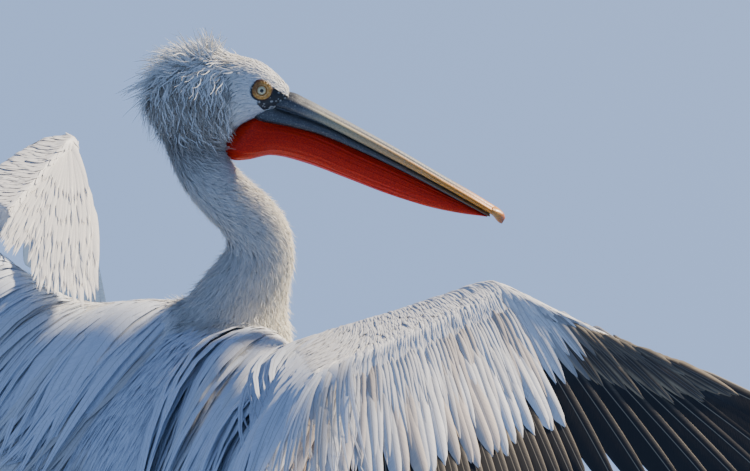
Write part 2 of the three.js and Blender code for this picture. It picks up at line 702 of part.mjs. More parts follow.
let headSolid = asSolid(headShape());
for (const row of crestTufts) headSolid = headSolid.add(asSolid(crestTuft(row)));
const headCutters = [1, -1].map((side) => eyeShape(side, eye.radius + gap));
const neckUpperCutter = neckLength(...neckSpans.upper, gap);
headCutters.push(upperBillCutter, lowerBillCutter, pouchCutter, neckUpperCutter);
const neckLower = cutBy(neckLength(...neckSpans.lower), headFrameTrunk);
headGroup.add(piece('head', cutBy(asGeometry(headSolid), ...headCutters), whitePlume));
headGroup.add(piece('eye_left', eyeShape(1, eye.radius), paleIris));
headGroup.add(piece('eye_right', eyeShape(-1, eye.radius), paleIris));
const lowerBill = cutBy(billLoft(lowerBillRows, ...hornForm), upperBillCutter);
const throat = cutBy(billLoft(pouchRows, ...pouchForm), lowerBillCutter, neckUpperCutter);
headGroup.add(piece('bill_upper', billLoft(upperBillRows, ...hornForm), greyHorn));
headGroup.add(piece('bill_nail', billLoft(nailRows, 3, 12, 2.6), orangeHorn));
headGroup.add(piece('bill_lower', lowerBill, greyHorn));
headGroup.add(piece('pouch', throat, redPouch));
headGroup.add(piece('neck_upper', neckLength(...neckSpans.upper), greyPlume));
headGroup.add(piece('neck_middle', neckLength(...neckSpans.middle), greyPlume));
headGroup.add(piece('neck_lower', neckLower, greyPlume));
model.add(headGroup);

const neckCutter = neckLength(...neckSpans.lower, gap).rotateZ(radians(headTurn));
model.add(wing('left', wingPose.left, trunkCutter, neckCutter));
model.add(wing('right', wingPose.right, trunkCutter, neckCutter));
model.add(legGroup('left', 1, trunkCutter));
model.add(legGroup('right', -1, trunkCutter));

// Stand the bird on the floor, over the middle of its bounding box.
const box = new THREE.Box3().setFromObject(model);
const middle = box.getCenter(new THREE.Vector3());
model.position.set(-middle.x, -middle.y, -box.min.z);

export default model;
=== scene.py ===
# A life-size Dalmatian pelican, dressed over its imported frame: one skin under a coat of solid
# feathers, with the flight feathers, bill, pouch, eyes and feet as pieces of their own.
import math

import bmesh
import bpy
import numpy as np
from mathutils import Matrix, Vector
from mathutils.bvhtree import BVHTree


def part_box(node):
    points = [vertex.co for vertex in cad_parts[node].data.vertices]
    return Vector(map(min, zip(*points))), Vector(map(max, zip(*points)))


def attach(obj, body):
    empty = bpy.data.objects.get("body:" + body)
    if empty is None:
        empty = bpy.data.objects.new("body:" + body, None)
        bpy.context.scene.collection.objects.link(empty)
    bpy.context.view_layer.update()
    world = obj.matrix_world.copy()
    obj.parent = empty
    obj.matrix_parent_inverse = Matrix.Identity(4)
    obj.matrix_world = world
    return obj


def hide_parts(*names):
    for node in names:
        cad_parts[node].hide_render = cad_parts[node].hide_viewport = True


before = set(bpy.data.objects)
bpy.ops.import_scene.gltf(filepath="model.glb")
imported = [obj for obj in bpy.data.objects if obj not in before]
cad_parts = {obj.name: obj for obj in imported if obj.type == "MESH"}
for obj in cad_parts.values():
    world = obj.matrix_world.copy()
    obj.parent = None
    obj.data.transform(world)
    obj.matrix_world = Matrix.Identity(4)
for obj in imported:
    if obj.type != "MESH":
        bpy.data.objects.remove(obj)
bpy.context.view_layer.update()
random = np.random.default_rng(23)
upward = np.array([0.0, 0.0, 1.0])


def unit(v):
    return v / np.maximum(np.linalg.norm(v, axis=-1, keepdims=True), 1e-9)


def ease(low, high, x):
    t = np.clip((np.asarray(x, float) - low) / (high - low), 0, 1)
    return t * t * (3 - 2 * t)


def between(a, b, share):
    return a + (b - a) * share


def mix(a, b, share):  # colours or directions, by one share for each
    return between(np.asarray(a), np.asarray(b), np.asarray(share, float)[..., None])


def throughRows(rows, places):  # a smooth curve through rows, each starting with its place
    rows = np.asarray(rows, float)
    places = np.atleast_1d(np.asarray(places, float))
    i = np.clip(np.searchsorted(rows[:, 0], places), 1, len(rows) - 1)
    a, b = rows[i - 1], rows[i]
    before, after = rows[np.maximum(i - 2, 0)], rows[np.minimum(i + 1, len(rows) - 1)]
    span = (b[:, 0] - a[:, 0])[:, None]
    t = np.clip((places - a[:, 0])[:, None] / span, 0, 1)
    slopeA = (b - before) / (b[:, :1] - before[:, :1]) * span
    slopeB = (after - a) / (after[:, :1] - a[:, :1]) * span
    curve = (2 * t**3 - 3 * t**2 + 1) * a + (3 * t**2 - 2 * t**3) * b
    return curve + (t**3 - 2 * t**2 + t) * slopeA + (t**3 - t**2) * slopeB


def linear(hexColour):  # sRGB hex to linear
    parts = [int(hexColour[i:i + 2], 16) / 255 for i in (0, 2, 4)]
    return [p / 12.92 if p <= 0.04045 else ((p + 0.055) / 1.055) ** 2.4 for p in parts]


def setSockets(tree, node, sockets):  # a node stands for its first output, a hex string for a colour
    for name, value in sockets.items():
        if isinstance(value, bpy.types.Node):
            value = value.outputs[0]
        if isinstance(value, bpy.types.NodeSocket):
            tree.links.new(value, node.inputs[name])
        else:
            node.inputs[name].default_value = linear(value) + [1] if isinstance(value, str) else value


def addNode(tree, kind, sockets={}, settings={}):
    node = tree.nodes.new(kind)
    for name, value in settings.items():
        setattr(node, name, value)
    setSockets(tree, node, sockets)
    return node


# a mix of colours: socket 0 is the share, 6 and 7 the colours, output 2 the result
mixing = {"data_type": "RGBA"}
multiplying = mixing | {"blend_type": "MULTIPLY"}


def newMaterial(name):
    material = bpy.data.materials.new(name)
    material.use_nodes = True
    tree = material.node_tree
    return material, tree, tree.nodes["Principled BSDF"]


def tintedMaterial(name):  # one that takes its main colour from the tint at each point of the mesh
    material, tree, shader = newMaterial(name)
    tint = addNode(tree, "ShaderNodeAttribute", {}, {"attribute_name": "tint"}).outputs["Color"]
    return material, tree, shader, tint


def dress(obj, material, slot, *nodes):
    obj.data.materials.append(material)
    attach(obj, "root")
    if nodes:
        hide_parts(*nodes)
    return obj


def paint(mesh, tint):
    colours = np.ones((len(mesh.vertices), 4), np.float32)
    colours[:, :3] = tint.reshape(-1, 3)
    mesh.color_attributes.new("tint", "FLOAT_COLOR", "POINT").data.foreach_set("color", colours.ravel())


def meshFrom(name, points, quads, tint=None, maps={}):  # the tint is one colour, or one for each point
    mesh = bpy.data.meshes.new(name)
    shape = np.shape(points)
    points = np.asarray(points, np.float32).reshape(-1, 3)
    quads = np.asarray(quads, np.int32).reshape(-1, 4)
    mesh.vertices.add(len(points))
    mesh.vertices.foreach_set("co", points.ravel())
    mesh.loops.add(quads.size)
    mesh.loops.foreach_set("vertex_index", quads.ravel())
    mesh.polygons.add(len(quads))
    mesh.polygons.foreach_set("loop_start", np.arange(0, quads.size, 4, dtype=np.int32))
    mesh.update(calc_edges=True)
    mesh.polygons.foreach_set("use_smooth", np.ones(len(quads), bool))
    if tint is not None:
        paint(mesh, np.broadcast_to(tint, shape))
    for mapName, uv in maps.items():
        layer = mesh.uv_layers.new(name=mapName)
        layer.data.foreach_set("uv", np.asarray(uv, np.float32).reshape(-1, 2)[quads.ravel()].ravel())
    obj = bpy.data.objects.new(name, mesh)
    bpy.context.scene.collection.objects.link(obj)
    return obj


def gridQuads(rows, columns, wrap=False):  # faces of a grid of points, closed round its columns if wrapped
    r, c = np.meshgrid(np.arange(rows - 1), np.arange(columns if wrap else columns - 1), indexing="ij")
    r, c = r.ravel() * columns, c.ravel()
    following = (c + 1) % columns
    return np.stack([r + c, r + following, r + columns + following, r + columns + c], 1)


def circle(count):  # angles once round
    return np.linspace(0, 2 * math.pi, count, endpoint=False)


# Places taken from the frame
head = {
    "turn": 223,  # degrees from +X to the way the bill points, seen from above
    "eye": (0.027, 0.0295, 0.398),  # ahead, to the side and up from the neck's base
    "eyeRadius": 0.010,
}
headTurn = math.radians(head["turn"])
headAhead = np.array([math.cos(headTurn), math.sin(headTurn), 0])
headLeft = np.array([-headAhead[1], headAhead[0], 0])
eyeBox = [np.array(corner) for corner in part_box("eye_right")]
eyeAhead, eyeSide, eyeHeight = head["eye"]
neckBase = (eyeBox[0] + eyeBox[1]) / 2 - eyeAhead * headAhead + eyeSide * headLeft - eyeHeight * upward


def fromHead(ahead, side, height):  # the upright plane of the head, with the side to the bird's left of it
    parts = np.broadcast_arrays(ahead, side, height)
    return neckBase + sum(part[..., None] * axis for part, axis in zip(parts, (headAhead, headLeft, upward)))


def toHead(points):
    away = np.asarray(points) - neckBase
    return np.stack([away @ headAhead, away @ headLeft, away @ upward], -1)


# Camera, lights and floor
view = {
    "place": (-3.4254, 3.3604, 1.4280),  # from the neck's base
    "right": (-0.7314, -0.6820, 0.0),
    "up": (0.1765, -0.1893, 0.9659),
    "lens": 142.8,
    "farthest": 80,
    "floorColours": ("7698cb", "6e92c8"),
    "floorReach": 30,
    "skyColour": "8aaff4",
    "skyStrength": 0.46,
    # lights: the way to each (right and ahead as the camera sees it, and up), power, colour, and width,
    # which is an angle for the sun and metres for the other
    "sun": ((0.66, 0.46, 0.60), 11.0, "fff0d8", math.radians(5)),
    "front": ((-0.5, -0.8, 0.5), 21, "b4cbf6", 2.5),
}


def makeCamera():
    camera = bpy.data.objects.new("camera", bpy.data.cameras.new("camera"))
    bpy.context.scene.collection.objects.link(camera)
    right, up = Vector(view["right"]).normalized(), Vector(view["up"]).normalized()
    camera.matrix_world = Matrix((right, up, right.cross(up))).transposed().to_4x4()
    camera.location = Vector(neckBase) + Vector(view["place"])
    camera.data.lens = view["lens"]
    camera.data.clip_end = view["farthest"]
    bpy.context.scene.camera = camera
    return right, up.cross(right)


def makeLight(name, kind, softness, right, ahead, distance=4.0):
    way, power, colour, width = view[name]
    light = bpy.data.objects.new(name, bpy.data.lights.new(name, kind))
    setattr(light.data, softness, width)
    light.data.energy = power
    light.data.color = linear(colour)
    target = Vector(neckBase + upward * 0.1)
    toward = right * way[0] + ahead * way[1] + Vector((0, 0, way[2]))
    light.location = target + toward.normalized() * distance
    light.rotation_euler = (target - light.location).to_track_quat("-Z", "Y").to_euler()
    bpy.context.scene.collection.objects.link(light)


def makeStage():
    right, ahead = makeCamera()
    makeLight("sun", "SUN", "angle", right, ahead)
    makeLight("front", "AREA", "size", right, ahead)
    world = bpy.data.worlds.new("studio")
    world.use_nodes = True
    setSockets(world.node_tree, world.node_tree.nodes["Background"],
               {"Color": view["skyColour"], "Strength": view["skyStrength"]})
    bpy.context.scene.world = world
    reach = view["floorReach"]
    corners = [(-reach, -reach, 0), (reach, -reach, 0), (reach, reach, 0), (-reach, reach, 0)]
    floor = meshFrom("floor", corners, [[0, 1, 2, 3]])
    # painted floor: matt, with a faint unevenness from the roller
    material, tree, shader = newMaterial("matt_painted_floor")
    patches = addNode(tree, "ShaderNodeTexNoise", {"Scale": 0.8, "Detail": 3.0})
    pale, deep = view["floorColours"]
    tone = addNode(tree, "ShaderNodeMix", {0: patches, 6: pale, 7: deep}, mixing).outputs[2]
    setSockets(tree, shader, {"Base Color": tone, "Roughness": 0.85})
    floor.data.materials.append(material)


makeStage()
print("stage made")


# Bill, nail and pouch. The bill's own frame runs along it from the forehead, with its height across it.
bill = {
    "root": (0.072, 0.389),  # ahead and up from the neck's base
    "dip": 29.6,
    # [along, top, underside, half width]
    "upper": [[-16, -22, -34, 21], [0, -2, -30.5, 26], [30, 2.2, -25, 26], [70, 3, -19.6, 22],
              [140, 3.4, -17, 18], [215, 3, -15, 16], [295, 1, -14, 16.5], [350, 0, -14, 18],
              [392, -2, -15, 16.5]],
    "nail": [[390, -2, -15, 16.6], [398, -1.6, -16.5, 15], [406, -2.6, -20, 11.5], [413, -5, -22, 7.5],
             [418, -10, -21.5, 2.5]],
    "lower": [[-36, -44, -62, 14], [-30, -39, -66, 18.5], [-18, -36.5, -66.5, 21.5], [0, -33.5, -60, 24.5],
              [30, -27.5, -49.5, 25.5], [80, -20.5, -37, 21], [155, -17, -28.6, 17], [230, -15.2, -23.8, 15],
              [310, -14.6, -21.6, 16], [370, -15.2, -19.8, 17], [392, -16.2, -19.4, 15]],
    "ridge": 2.6,  # how far the ridge along the middle stands up
    "groove": 1.5,  # how deep the furrow beside it is
    "flankColour": "6d6f70", "ridgeColour": "9c9c98", "furrowColour": "34363a", "baseColour": "2f3134",
    "bandColours": ("b5ac84", "f2a02c"), "tipColour": "f59a20", "nailColours": ("e39a3c", "c9661f"),
    "railColours": ("4a4c4e", "8b8c8a"), "undersideColour": "1e1f21", "railTipColour": "b98a4c",
    "streakColour": "26282b", "fleckColour": "b9b7ae",
}
billDip = math.radians(bill["dip"])
billAlong = headAhead * math.cos(billDip) - upward * math.sin(billDip)
billUp = headAhead * math.sin(billDip) + upward * math.cos(billDip)
billRoot = fromHead(bill["root"][0], 0, bill["root"][1])
billTurn = (0, billDip, -headTurn)  # turns a pattern to run along the bill


def fromBill(along, side, height):  # millimetres in the bill's frame to metres in the model's
    parts = np.broadcast_arrays(along, side, height)
    axes = (billAlong, headLeft, billUp)
    return billRoot + sum(part[..., None] * axis for part, axis in zip(parts, axes)) / 1000


def ringForm(rows, steps, sides, power):  # rings along rows of [along, top, underside, half width]
    along = np.linspace(rows[0][0], rows[-1][0], steps)
    _, top, bottom, half = throughRows(rows, along).T
    turn = circle(sides) + math.pi / sides
    across = np.sign(np.sin(turn)) * np.abs(np.sin(turn)) ** (2 / power)
    over = np.sign(np.cos(turn)) * np.abs(np.cos(turn)) ** (2 / power)
    middle = (top + bottom)[:, None] / 2
    height = middle + (top - bottom)[:, None] / 2 * over
    return along[:, None], half[:, None], middle, height, across, over


def capQuads(start, sides):  # closes a ring of an even count with a strip of faces
    i = np.arange(sides // 2 - 1)
    return np.stack([start + i, start + i + 1, start + sides - 2 - i, start + sides - 1 - i], 1)


def closedForm(name, points, tint):  # rings of points, closed at both ends
    rows, sides = points.shape[:2]
    caps = [capQuads(start, sides) for start in (0, (rows - 1) * sides)]
    quads = np.concatenate([gridQuads(rows, sides, True)] + caps)
    obj = meshFrom(name, points, quads, tint)
    mesh = bmesh.new()
    mesh.from_mesh(obj.data)
    bmesh.ops.recalc_face_normals(mesh, faces=mesh.faces)
    mesh.to_mesh(obj.data)
    mesh.free()
    return obj


def blendedTint(start, *layers):  # each layer is a colour (or an array of them) and its share
    tint = start
    for colour, share in layers:
        tint = mix(tint, linear(colour) if isinstance(colour, str) else colour, share)
    return tint


def makeBill():
    # upper bill: a ridge along the middle, a furrow each side of it and a flat band down to the edge
    along, half, _, height, across, over = ringForm(bill["upper"], 220, 72, 2.6)
    ridge = np.exp(-(across / 0.34) ** 2) * (over > 0)
    furrow = np.exp(-((np.abs(across) - 0.56) / 0.11) ** 2) * (over > 0)
    height = height + bill["ridge"] * (ridge - 0.55) * (over > 0) - bill["groove"] * furrow
    random.normal(0, 1, height.shape)  # drawn and left, so that every later draw stays the same
    band = ease(0.55, 0.75, np.abs(across)) * (over > -0.75)
    bandBack, bandFront = bill["bandColours"]
    bandColour = blendedTint(linear(bandBack), (bandFront, ease(60, 330, along)))
    tint = blendedTint(linear(bill["flankColour"]), (bill["ridgeColour"], ridge * 0.9),
                       (bill["furrowColour"], furrow * 0.9), (bandColour, band * ease(20, 110, along) * 0.95),
                       (bill["baseColour"], ease(60, -5, along) * 0.85),
                       (bill["tipColour"], ease(290, 385, along) * 0.92))
    upperBill = closedForm("upperBill", fromBill(along, half * across, height), tint)

    # nail: the hook that closes over the tip
    along, half, _, height, across, _ = ringForm(bill["nail"], 40, 48, 2.3)
    nailBack, nailTip = bill["nailColours"]
    tint = blendedTint(linear(nailBack), (nailTip, ease(402, 416, along)))
    nail = closedForm("nail", fromBill(along, half * across, height), tint)

    # lower bill: a rounded rail from the cheek to the nail
    along, half, _, height, across, over = ringForm(bill["lower"], 200, 56, 2.4)
    side = half * across * (1 - 0.05 * np.exp(-((over + 0.1) / 0.16) ** 2))
    railFlank, railTop = bill["railColours"]
    tint = blendedTint(linear(railFlank), (railTop, ease(0.1, 0.9, over) * 0.6),
                       (bill["undersideColour"], ease(0.1, -0.8, over) * 0.9),
                       (bill["railTipColour"], ease(150, 380, along) * ease(-0.4, 0.5, over) * 0.9))
    lowerBill = closedForm("lowerBill", fromBill(along, side, height), tint)
    return upperBill, nail, lowerBill


def hornMaterial():
    # keratin, grown in layers and rubbed smooth: satin, streaked along the bill and flecked near the face
    material, tree, shader, tint = tintedMaterial("grown_satin_horn")
    where = addNode(tree, "ShaderNodeTexCoord").outputs["Object"]
    # streaks 2 mm apart and 25 mm long, and flecks about 2 mm across
    size = (40, 500, 500)
    turned = addNode(tree, "ShaderNodeMapping", {"Vector": where, "Rotation": billTurn, "Scale": size})
    streak = addNode(tree, "ShaderNodeTexNoise", {"Vector": turned, "Scale": 1.0, "Detail": 4.0})
    fleck = addNode(tree, "ShaderNodeTexNoise", {"Vector": where, "Scale": 420.0, "Detail": 3.0})
    colour = tint
    for noise, low, high, name in ((streak, 0.35, 0.7, "streakColour"), (fleck, 0.56, 0.72, "fleckColour")):
        share = addNode(tree, "ShaderNodeMapRange", {0: noise, 1: low, 2: high, 4: 0.45})
        colour = addNode(tree, "ShaderNodeMix", {0: share, 6: colour, 7: bill[name]}, mixing).outputs[2]
    bump = addNode(tree, "ShaderNodeBump", {"Strength": 0.35, "Distance": 0.0006, "Height": streak})
    setSockets(tree, shader, {"Base Color": colour, "Roughness": 0.36, "IOR": 1.55, "Normal": bump})
    return material


hornFinish = hornMaterial()
upperBill, nail, lowerBill = makeBill()
dress(upperBill, hornFinish, "bill_horn", "bill_upper")
dress(nail, hornFinish, "bill_nail", "bill_nail")
dress(lowerBill, hornFinish, "bill_horn", "bill_lower")

pouch = {
    # [along, top, underside, half width]
    "rows": [[-50, -106, -126, 6], [-46, -94, -136, 14], [-40, -82, -142, 20], [-26, -62, -147, 27],
             [-4, -54, -134, 30], [26, -44, -108, 28], [78, -33, -92, 23.5], [150, -28.6, -81, 19],
             [222, -23.6, -71, 15.5], [290, -21.6, -57.5, 12.5], [350, -20.8, -39, 10], [390, -19.8, -23, 6]],
    "wrinkle": 0.55,  # depth of the fine folds, mm
    "deep": "a80a00", "bright": "ff3a00", "tipColour": "ff6a1c",
}


def makePouch():
    along, half, middle, height, across, over = ringForm(pouch["rows"], 220, 120, 2.0)
    share = (along - along[0]) / (along[-1] - along[0])
    turn = circle(len(across))
    folds = np.zeros(height.shape)
    for count, size in ((17, 1.0), (29, 0.8), (47, 0.6)):  # long folds that wander and fade
        drift = random.uniform(0, 6) + 1.6 * np.sin(share * random.uniform(3, 7) + random.uniform(0, 6))
        fade = 0.6 + 0.4 * np.sin(turn * 3 + random.uniform(0, 6))
        folds += size * fade * np.sin(count * turn + drift)
    depth = pouch["wrinkle"] * ease(0, 0.12, share) * ease(1, 0.85, share)
    grow = 1 + folds * depth / np.maximum(half, 8)
    points = fromBill(along, half * across * grow, middle + (height - middle) * (1 + (grow - 1) * 0.5))
    tint = blendedTint(linear(pouch["deep"]), (pouch["bright"], 0.45 + 0.12 * folds),
                       (pouch["tipColour"], ease(0.55, 1, share) * ease(-0.2, -1, over) * 0.6))
    return closedForm("throatPouch", points, tint)


def pouchMaterial():
    # bare, stretched throat skin: damp and thin, with fine lengthwise creases and red showing through
    material, tree, shader, tint = tintedMaterial("damp_bare_skin")
    where = addNode(tree, "ShaderNodeTexCoord").outputs["Object"]
    # creases 1.5 mm apart and 30 mm long
    size = (30, 700, 700)
    turned = addNode(tree, "ShaderNodeMapping", {"Vector": where, "Rotation": billTurn, "Scale": size})
    crease = addNode(tree, "ShaderNodeTexNoise", {"Vector": turned, "Scale": 1.0, "Detail": 5.0})
    share = addNode(tree, "ShaderNodeMapRange", {0: crease, 1: 0.4, 2: 0.65})
    creased = addNode(tree, "ShaderNodeMix", {0: share, 6: tint, 7: pouch["deep"]}, mixing).outputs[2]
    bump = addNode(tree, "ShaderNodeBump", {"Strength": 0.6, "Distance": 0.0012, "Height": crease})
    setSockets(tree, shader, {"Base Color": creased, "Roughness": 0.38, "Specular IOR Level": 0.2,
                              "Subsurface Weight": 0.15, "Subsurface Radius": (0.006, 0.001, 0.0005),
                              "Normal": bump})
    return material


dress(makePouch(), pouchMaterial(), "pouch_skin", "pouch")
print("bill and pouch made")


# Eyes
eyeLook = {
    "pupil": 15, "iris": 52, "rim": 60,  # where each ends, in degrees off the axis
    "lean": (0.16, 0.05),  # how far the axis turns ahead and up
    "irisColour": "efe3b4", "spokeColour": "d8c48a", "outerColour": "d9a94e", "pupilColour": "0a0908",
    "rimColour": "3a2713", "speckColour": "8a6a34",
}


def eyeAxes(side, lean, turn):  # the middle of an eye, its axis, and a ring of ways around that axis
    axis = unit(side * headLeft + lean[0] * headAhead + lean[1] * upward)
    across = unit(np.cross(upward, axis))
    around = np.cos(turn)[:, None] * across + np.sin(turn)[:, None] * np.cross(axis, across)
    return fromHead(eyeAhead, side * eyeSide, eyeHeight), axis, around


def makeEye(side):
    degrees = np.concatenate([np.linspace(0.5, 70, 48), np.linspace(75, 178, 16)])[:, None]
    lean, turn = np.radians(degrees), circle(64)
    centre, axis, around = eyeAxes(side, eyeLook["lean"], turn)
    bulge = 1 + 0.07 * np.exp(-(degrees / 34) ** 2)  # the clear front stands a little proud
    radius = head["eyeRadius"] * bulge
    points = centre + axis * (radius * np.cos(lean))[..., None] + (radius * np.sin(lean))[..., None] * around
    pupil, iris = eyeLook["pupil"], eyeLook["iris"]
    spokes = np.clip(0.4 + random.uniform(-0.5, 0.5, (1, len(turn))), 0, 1)
    tint = blendedTint(linear(eyeLook["irisColour"]), (eyeLook["spokeColour"], spokes),
                       (eyeLook["outerColour"], ease(36, iris, degrees) * 0.6),
                       (eyeLook["pupilColour"], 1 - ease(pupil, pupil + 4, degrees)),
                       (eyeLook["rimColour"], ease(iris, eyeLook["rim"], degrees)))
    return closedForm("eyeLeft" if side > 0 else "eyeRight", points, tint)


def eyeMaterial():
    # living eye: an iris under a wet clear front, so it shines like glass
    material, tree, shader, tint = tintedMaterial("wet_clear_eye")
    where = addNode(tree, "ShaderNodeTexCoord").outputs["Object"]
    # specks 1 mm across
    speck = addNode(tree, "ShaderNodeTexNoise", {"Vector": where, "Scale": 900.0, "Detail": 2.0})
    share = addNode(tree, "ShaderNodeMapRange", {0: speck, 1: 0.45, 2: 0.8, 4: 0.3})
    brown = eyeLook["speckColour"]
    specked = addNode(tree, "ShaderNodeMix", {0: share, 6: tint, 7: brown}, mixing).outputs[2]
    setSockets(tree, shader, {"Base Color": specked, "Roughness": 0.3, "Coat Weight": 1.0,
                              "Coat Roughness": 0.03, "Coat IOR": 1.376})
    return material


eyeFinish = eyeMaterial()
dress(makeEye(1), eyeFinish, "eye", "eye_left")
dress(makeEye(-1), eyeFinish, "eye", "eye_right")

# Wings: where a feather roots and the way it lies.
# A place along a wing runs from 0 at the shoulder through 1 at the elbow and 2 at the wrist to 3 at
# the fingertips. A reach is the distance behind the bones.
arm = {
    "shoulder": (0.112, 0.095, -0.062),  # from the neck's base, to the side
    "lengths": (0.366, 0.385, 0.290),
    "edgeRoot": 0.36, "edgeLift": 0.044, "edgeLead": 0.017,
    "lieAtShoulder": (-0.04, 0.88, -0.47), "lieAtElbow": (0.24, 0.80, -0.55),
    "droop": 0.22,
}
wingPose = {  # angles are [from sideways toward forward, above level]
    "left": {"side": 1, "bones": ((-28.4, 26), (66, 15), (48, -42)), "foreLie": (0.6, 0.42, -0.68),
             "outerLie": (0.69, 0.35, -0.635), "fold": 22},
    "right": {"side": -1, "bones": ((-32.1, 16.7), (81, 11), (50, -24)), "foreLie": (0.62, 0.3, -0.72),
              "outerLie": (0.58, -0.1, -0.8), "fold": 0},
}


class Wing:
    def __init__(self, name):
        pose = wingPose[name]
        self.name, self.side = name, pose["side"]
        mirror = np.array([self.side, 1, 1])
        ahead, above = np.radians(pose["bones"]).T
        level = np.cos(above)
        ways = np.stack([level * np.cos(ahead), -level * np.sin(ahead), np.sin(above)], 1) * mirror
        steps = np.cumsum(ways * np.array(arm["lengths"])[:, None], 0)
        self.joints = neckBase + np.array(arm["shoulder"]) * mirror + np.vstack([np.zeros(3), steps])
        self.handLine = ways[2]
        self.outer = unit(np.array(pose["outerLie"]) * mirror)
        trailing = unit(self.outer - (self.outer @ self.handLine) * self.handLine)
        fold = math.radians(pose["fold"])
        folded = self.handLine * math.cos(fold) + trailing * math.sin(fold)
        self.inner = folded if pose["fold"] > 0 else self.outer
        self.blended = pose["fold"] == 0
        names = (arm["lieAtShoulder"], arm["lieAtElbow"], pose["foreLie"])
        self.lies = [unit(np.array(lie) * mirror) for lie in names]
        lift = arm["edgeLift"] * upward
        self.edgeRoot = self.joints[0] + (self.joints[1] - self.joints[0]) * arm["edgeRoot"] + lift

    def bone(self, place):
        k = np.clip(np.floor(place).astype(int), 0, 2)
        return self.joints[k] + (self.joints[k + 1] - self.joints[k]) * (place - k)[:, None]

    def lie(self, place, onHand):
        place = np.asarray(place, float)
        if onHand:
            return unit(mix(self.inner, self.handLine, np.clip(place - 2, 0, 1) ** 0.85))
        share = place - 1
        first = unit(mix(self.lies[0], self.lies[1], np.clip(place, 0, 1)))
        onFore = mix(self.lies[1], self.lies[2], np.clip(2.4 * share, 0, 1))
        onFore = unit(mix(onFore, self.outer, np.clip(2 * share - 1, 0, 1)))
        return np.where((place < 1)[:, None], first, onFore)

    def surface(self, place, reach, onHand=False):
        place, reach = np.broadcast_arrays(np.asarray(place, float), np.asarray(reach, float))
        lie, bone = self.lie(place, onHand), self.bone(place)
        lead = arm["edgeLead"] * (1 + 0.5 * np.exp(-((place - 2) / 0.3) ** 2))
        if onHand:
            lead = lead * (1 + 0.75 * np.sin(math.pi * (place - 2)) - 0.45 * (place - 2))
            edge = bone
        else:
            edge = self.edgeRoot + (self.joints[2] - self.edgeRoot) * (place - 1)[:, None]
        nose = edge - lie * lead[:, None]
        ahead = mix(bone, nose, np.clip(-reach, 0, 1))
        return np.where((reach < 0)[:, None], ahead, bone + lie * reach[:, None])

    def flat(self, place, onHand):
        low = np.clip(place - 0.02, 2, 2.96) if onHand else np.minimum(place, 1.96)
        along = self.surface(low + 0.04, 0.06, onHand) - self.surface(low, 0.06, onHand)
        return unit(np.cross(self.lie(place, onHand), along)) * -self.side

    def normal(self, place, onHand=False):
        place = np.asarray(place, float)
        own = self.flat(place, onHand)
        if not self.blended:
            return own
        wrist = np.full(1, 2.0)
        shared = unit(self.flat(wrist, False) + self.flat(wrist, True))[0]
        return unit(mix(own, shared, np.clip(1 - np.abs(place - 2) / 0.25, 0, 1)))


wings = [Wing("left"), Wing("right")]

print("eyes and wing frames made")

# Skin: every piece of flesh closed into one surface that lies inside the coat
skinLook = {
    "voxel": 0.0052,
    "grow": 0.0024,  # the flesh pieces swell by this first, so that their joints close
    "depth": {"head": 0.005, "neck": 0.008, "trunk": 0.007, "upper": 0.007, "thigh": 0.007, "wing": 0.001},
    # fuller feathering over a raised forearm: [share of the way to the wrist, how far out]
    "swell": {"left": [[0, 0.030], [0.3, 0.042], [0.57, 0.038], [0.76, 0.022], [0.9, 0.008], [1, 0.001]],
              "right": [[0, 0.0], [1, 0.0]]},
    "roll": {"left": 0.018, "right": 0.0},
    "drawnIn": 0.13,  # how much the raised web of the wing shrinks beneath its curtain of feathers
    "faceMiddle": (0.036, 0.388), "faceReach": 0.064,  # round here the skin is made finer
    # corners of the bare lores in the upright plane of the head, mm, and where the ring round the eye fades
    "lores": [[41, 407], [72, 386], [77, 367], [31, 362], [20.6, 375], [24, 398]],
    "ring": (0.0185, 0.0165),
    "smoothing": 40,  # rounds over the joints between the pieces
    "socket": 0.0045,  # how far the skin dips at the eye
    "shadeUnderCoat": 0.94,  # the skin painted a little darker than the coat over it: painted shade under the feathers
    "loreColour": "191a1c", "fleckColour": "b9b6ad",
    "softness": {"wing": 0.06, "head": 0.3, "neck": 1.0, "trunk": 1.0, "upper": 1.0, "thigh": 1.0},
}
# Head under its crest: [ahead, crown, throat, half width] in mm
headRows = [[-166, 378, 358, 12], [-152, 414, 336, 33], [-124, 444, 322, 45], [-84, 456, 313, 50],
            [-44, 458, 310, 50], [-4, 452, 332, 45], [26, 440, 349, 38.5], [52, 419, 361, 30],
            [73, 396, 369, 21]]
# Neck in the upright plane of the head: [order, ahead, height] in mm
neckRows = [[0, -34, -90], [1, -20, -4], [2, 0, 54], [3, 20, 97], [4, 25, 134], [5, 6, 170], [6, -20, 196],
            [7, -54, 230], [8, -77, 272], [9, -89, 314], [10, -88, 352]]
fleshKinds = {"trunk": "trunk", "neck_lower": "neck", "neck_middle": "neck", "neck_upper": "neck",
              "head": "head"}
for wing in wings:
    fleshKinds |= {f"upper_arm_{wing.name}": "upper", f"thigh_{wing.name}": "thigh"}
    fleshKinds |= {f"{part}_{wing.name}": "wing" for part in ("patagium", "forearm", "hand")}
fleshNames = list(fleshKinds)


def arraysOf(mesh):
    mesh.calc_loop_triangles()
    points = np.empty(len(mesh.vertices) * 3, np.float32)
    mesh.vertices.foreach_get("co", points)
    faces = np.empty(len(mesh.loop_triangles) * 3, np.int32)
    mesh.loop_triangles.foreach_get("vertices", faces)
    return points.reshape(-1, 3).astype(float), faces.reshape(-1, 3)


def grownNode(name):  # a CAD node's welded mesh, swollen a little
    mesh = bmesh.new()
    mesh.from_mesh(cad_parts[name].data)
    bmesh.ops.remove_doubles(mesh, verts=mesh.verts, dist=1e-5)
    bmesh.ops.recalc_face_normals(mesh, faces=mesh.faces)
    mesh.normal_update()
    for vertex in mesh.verts:
        vertex.co += vertex.normal * skinLook["grow"]
    data = bpy.data.meshes.new(name)
    mesh.to_mesh(data)
    mesh.free()
    return data


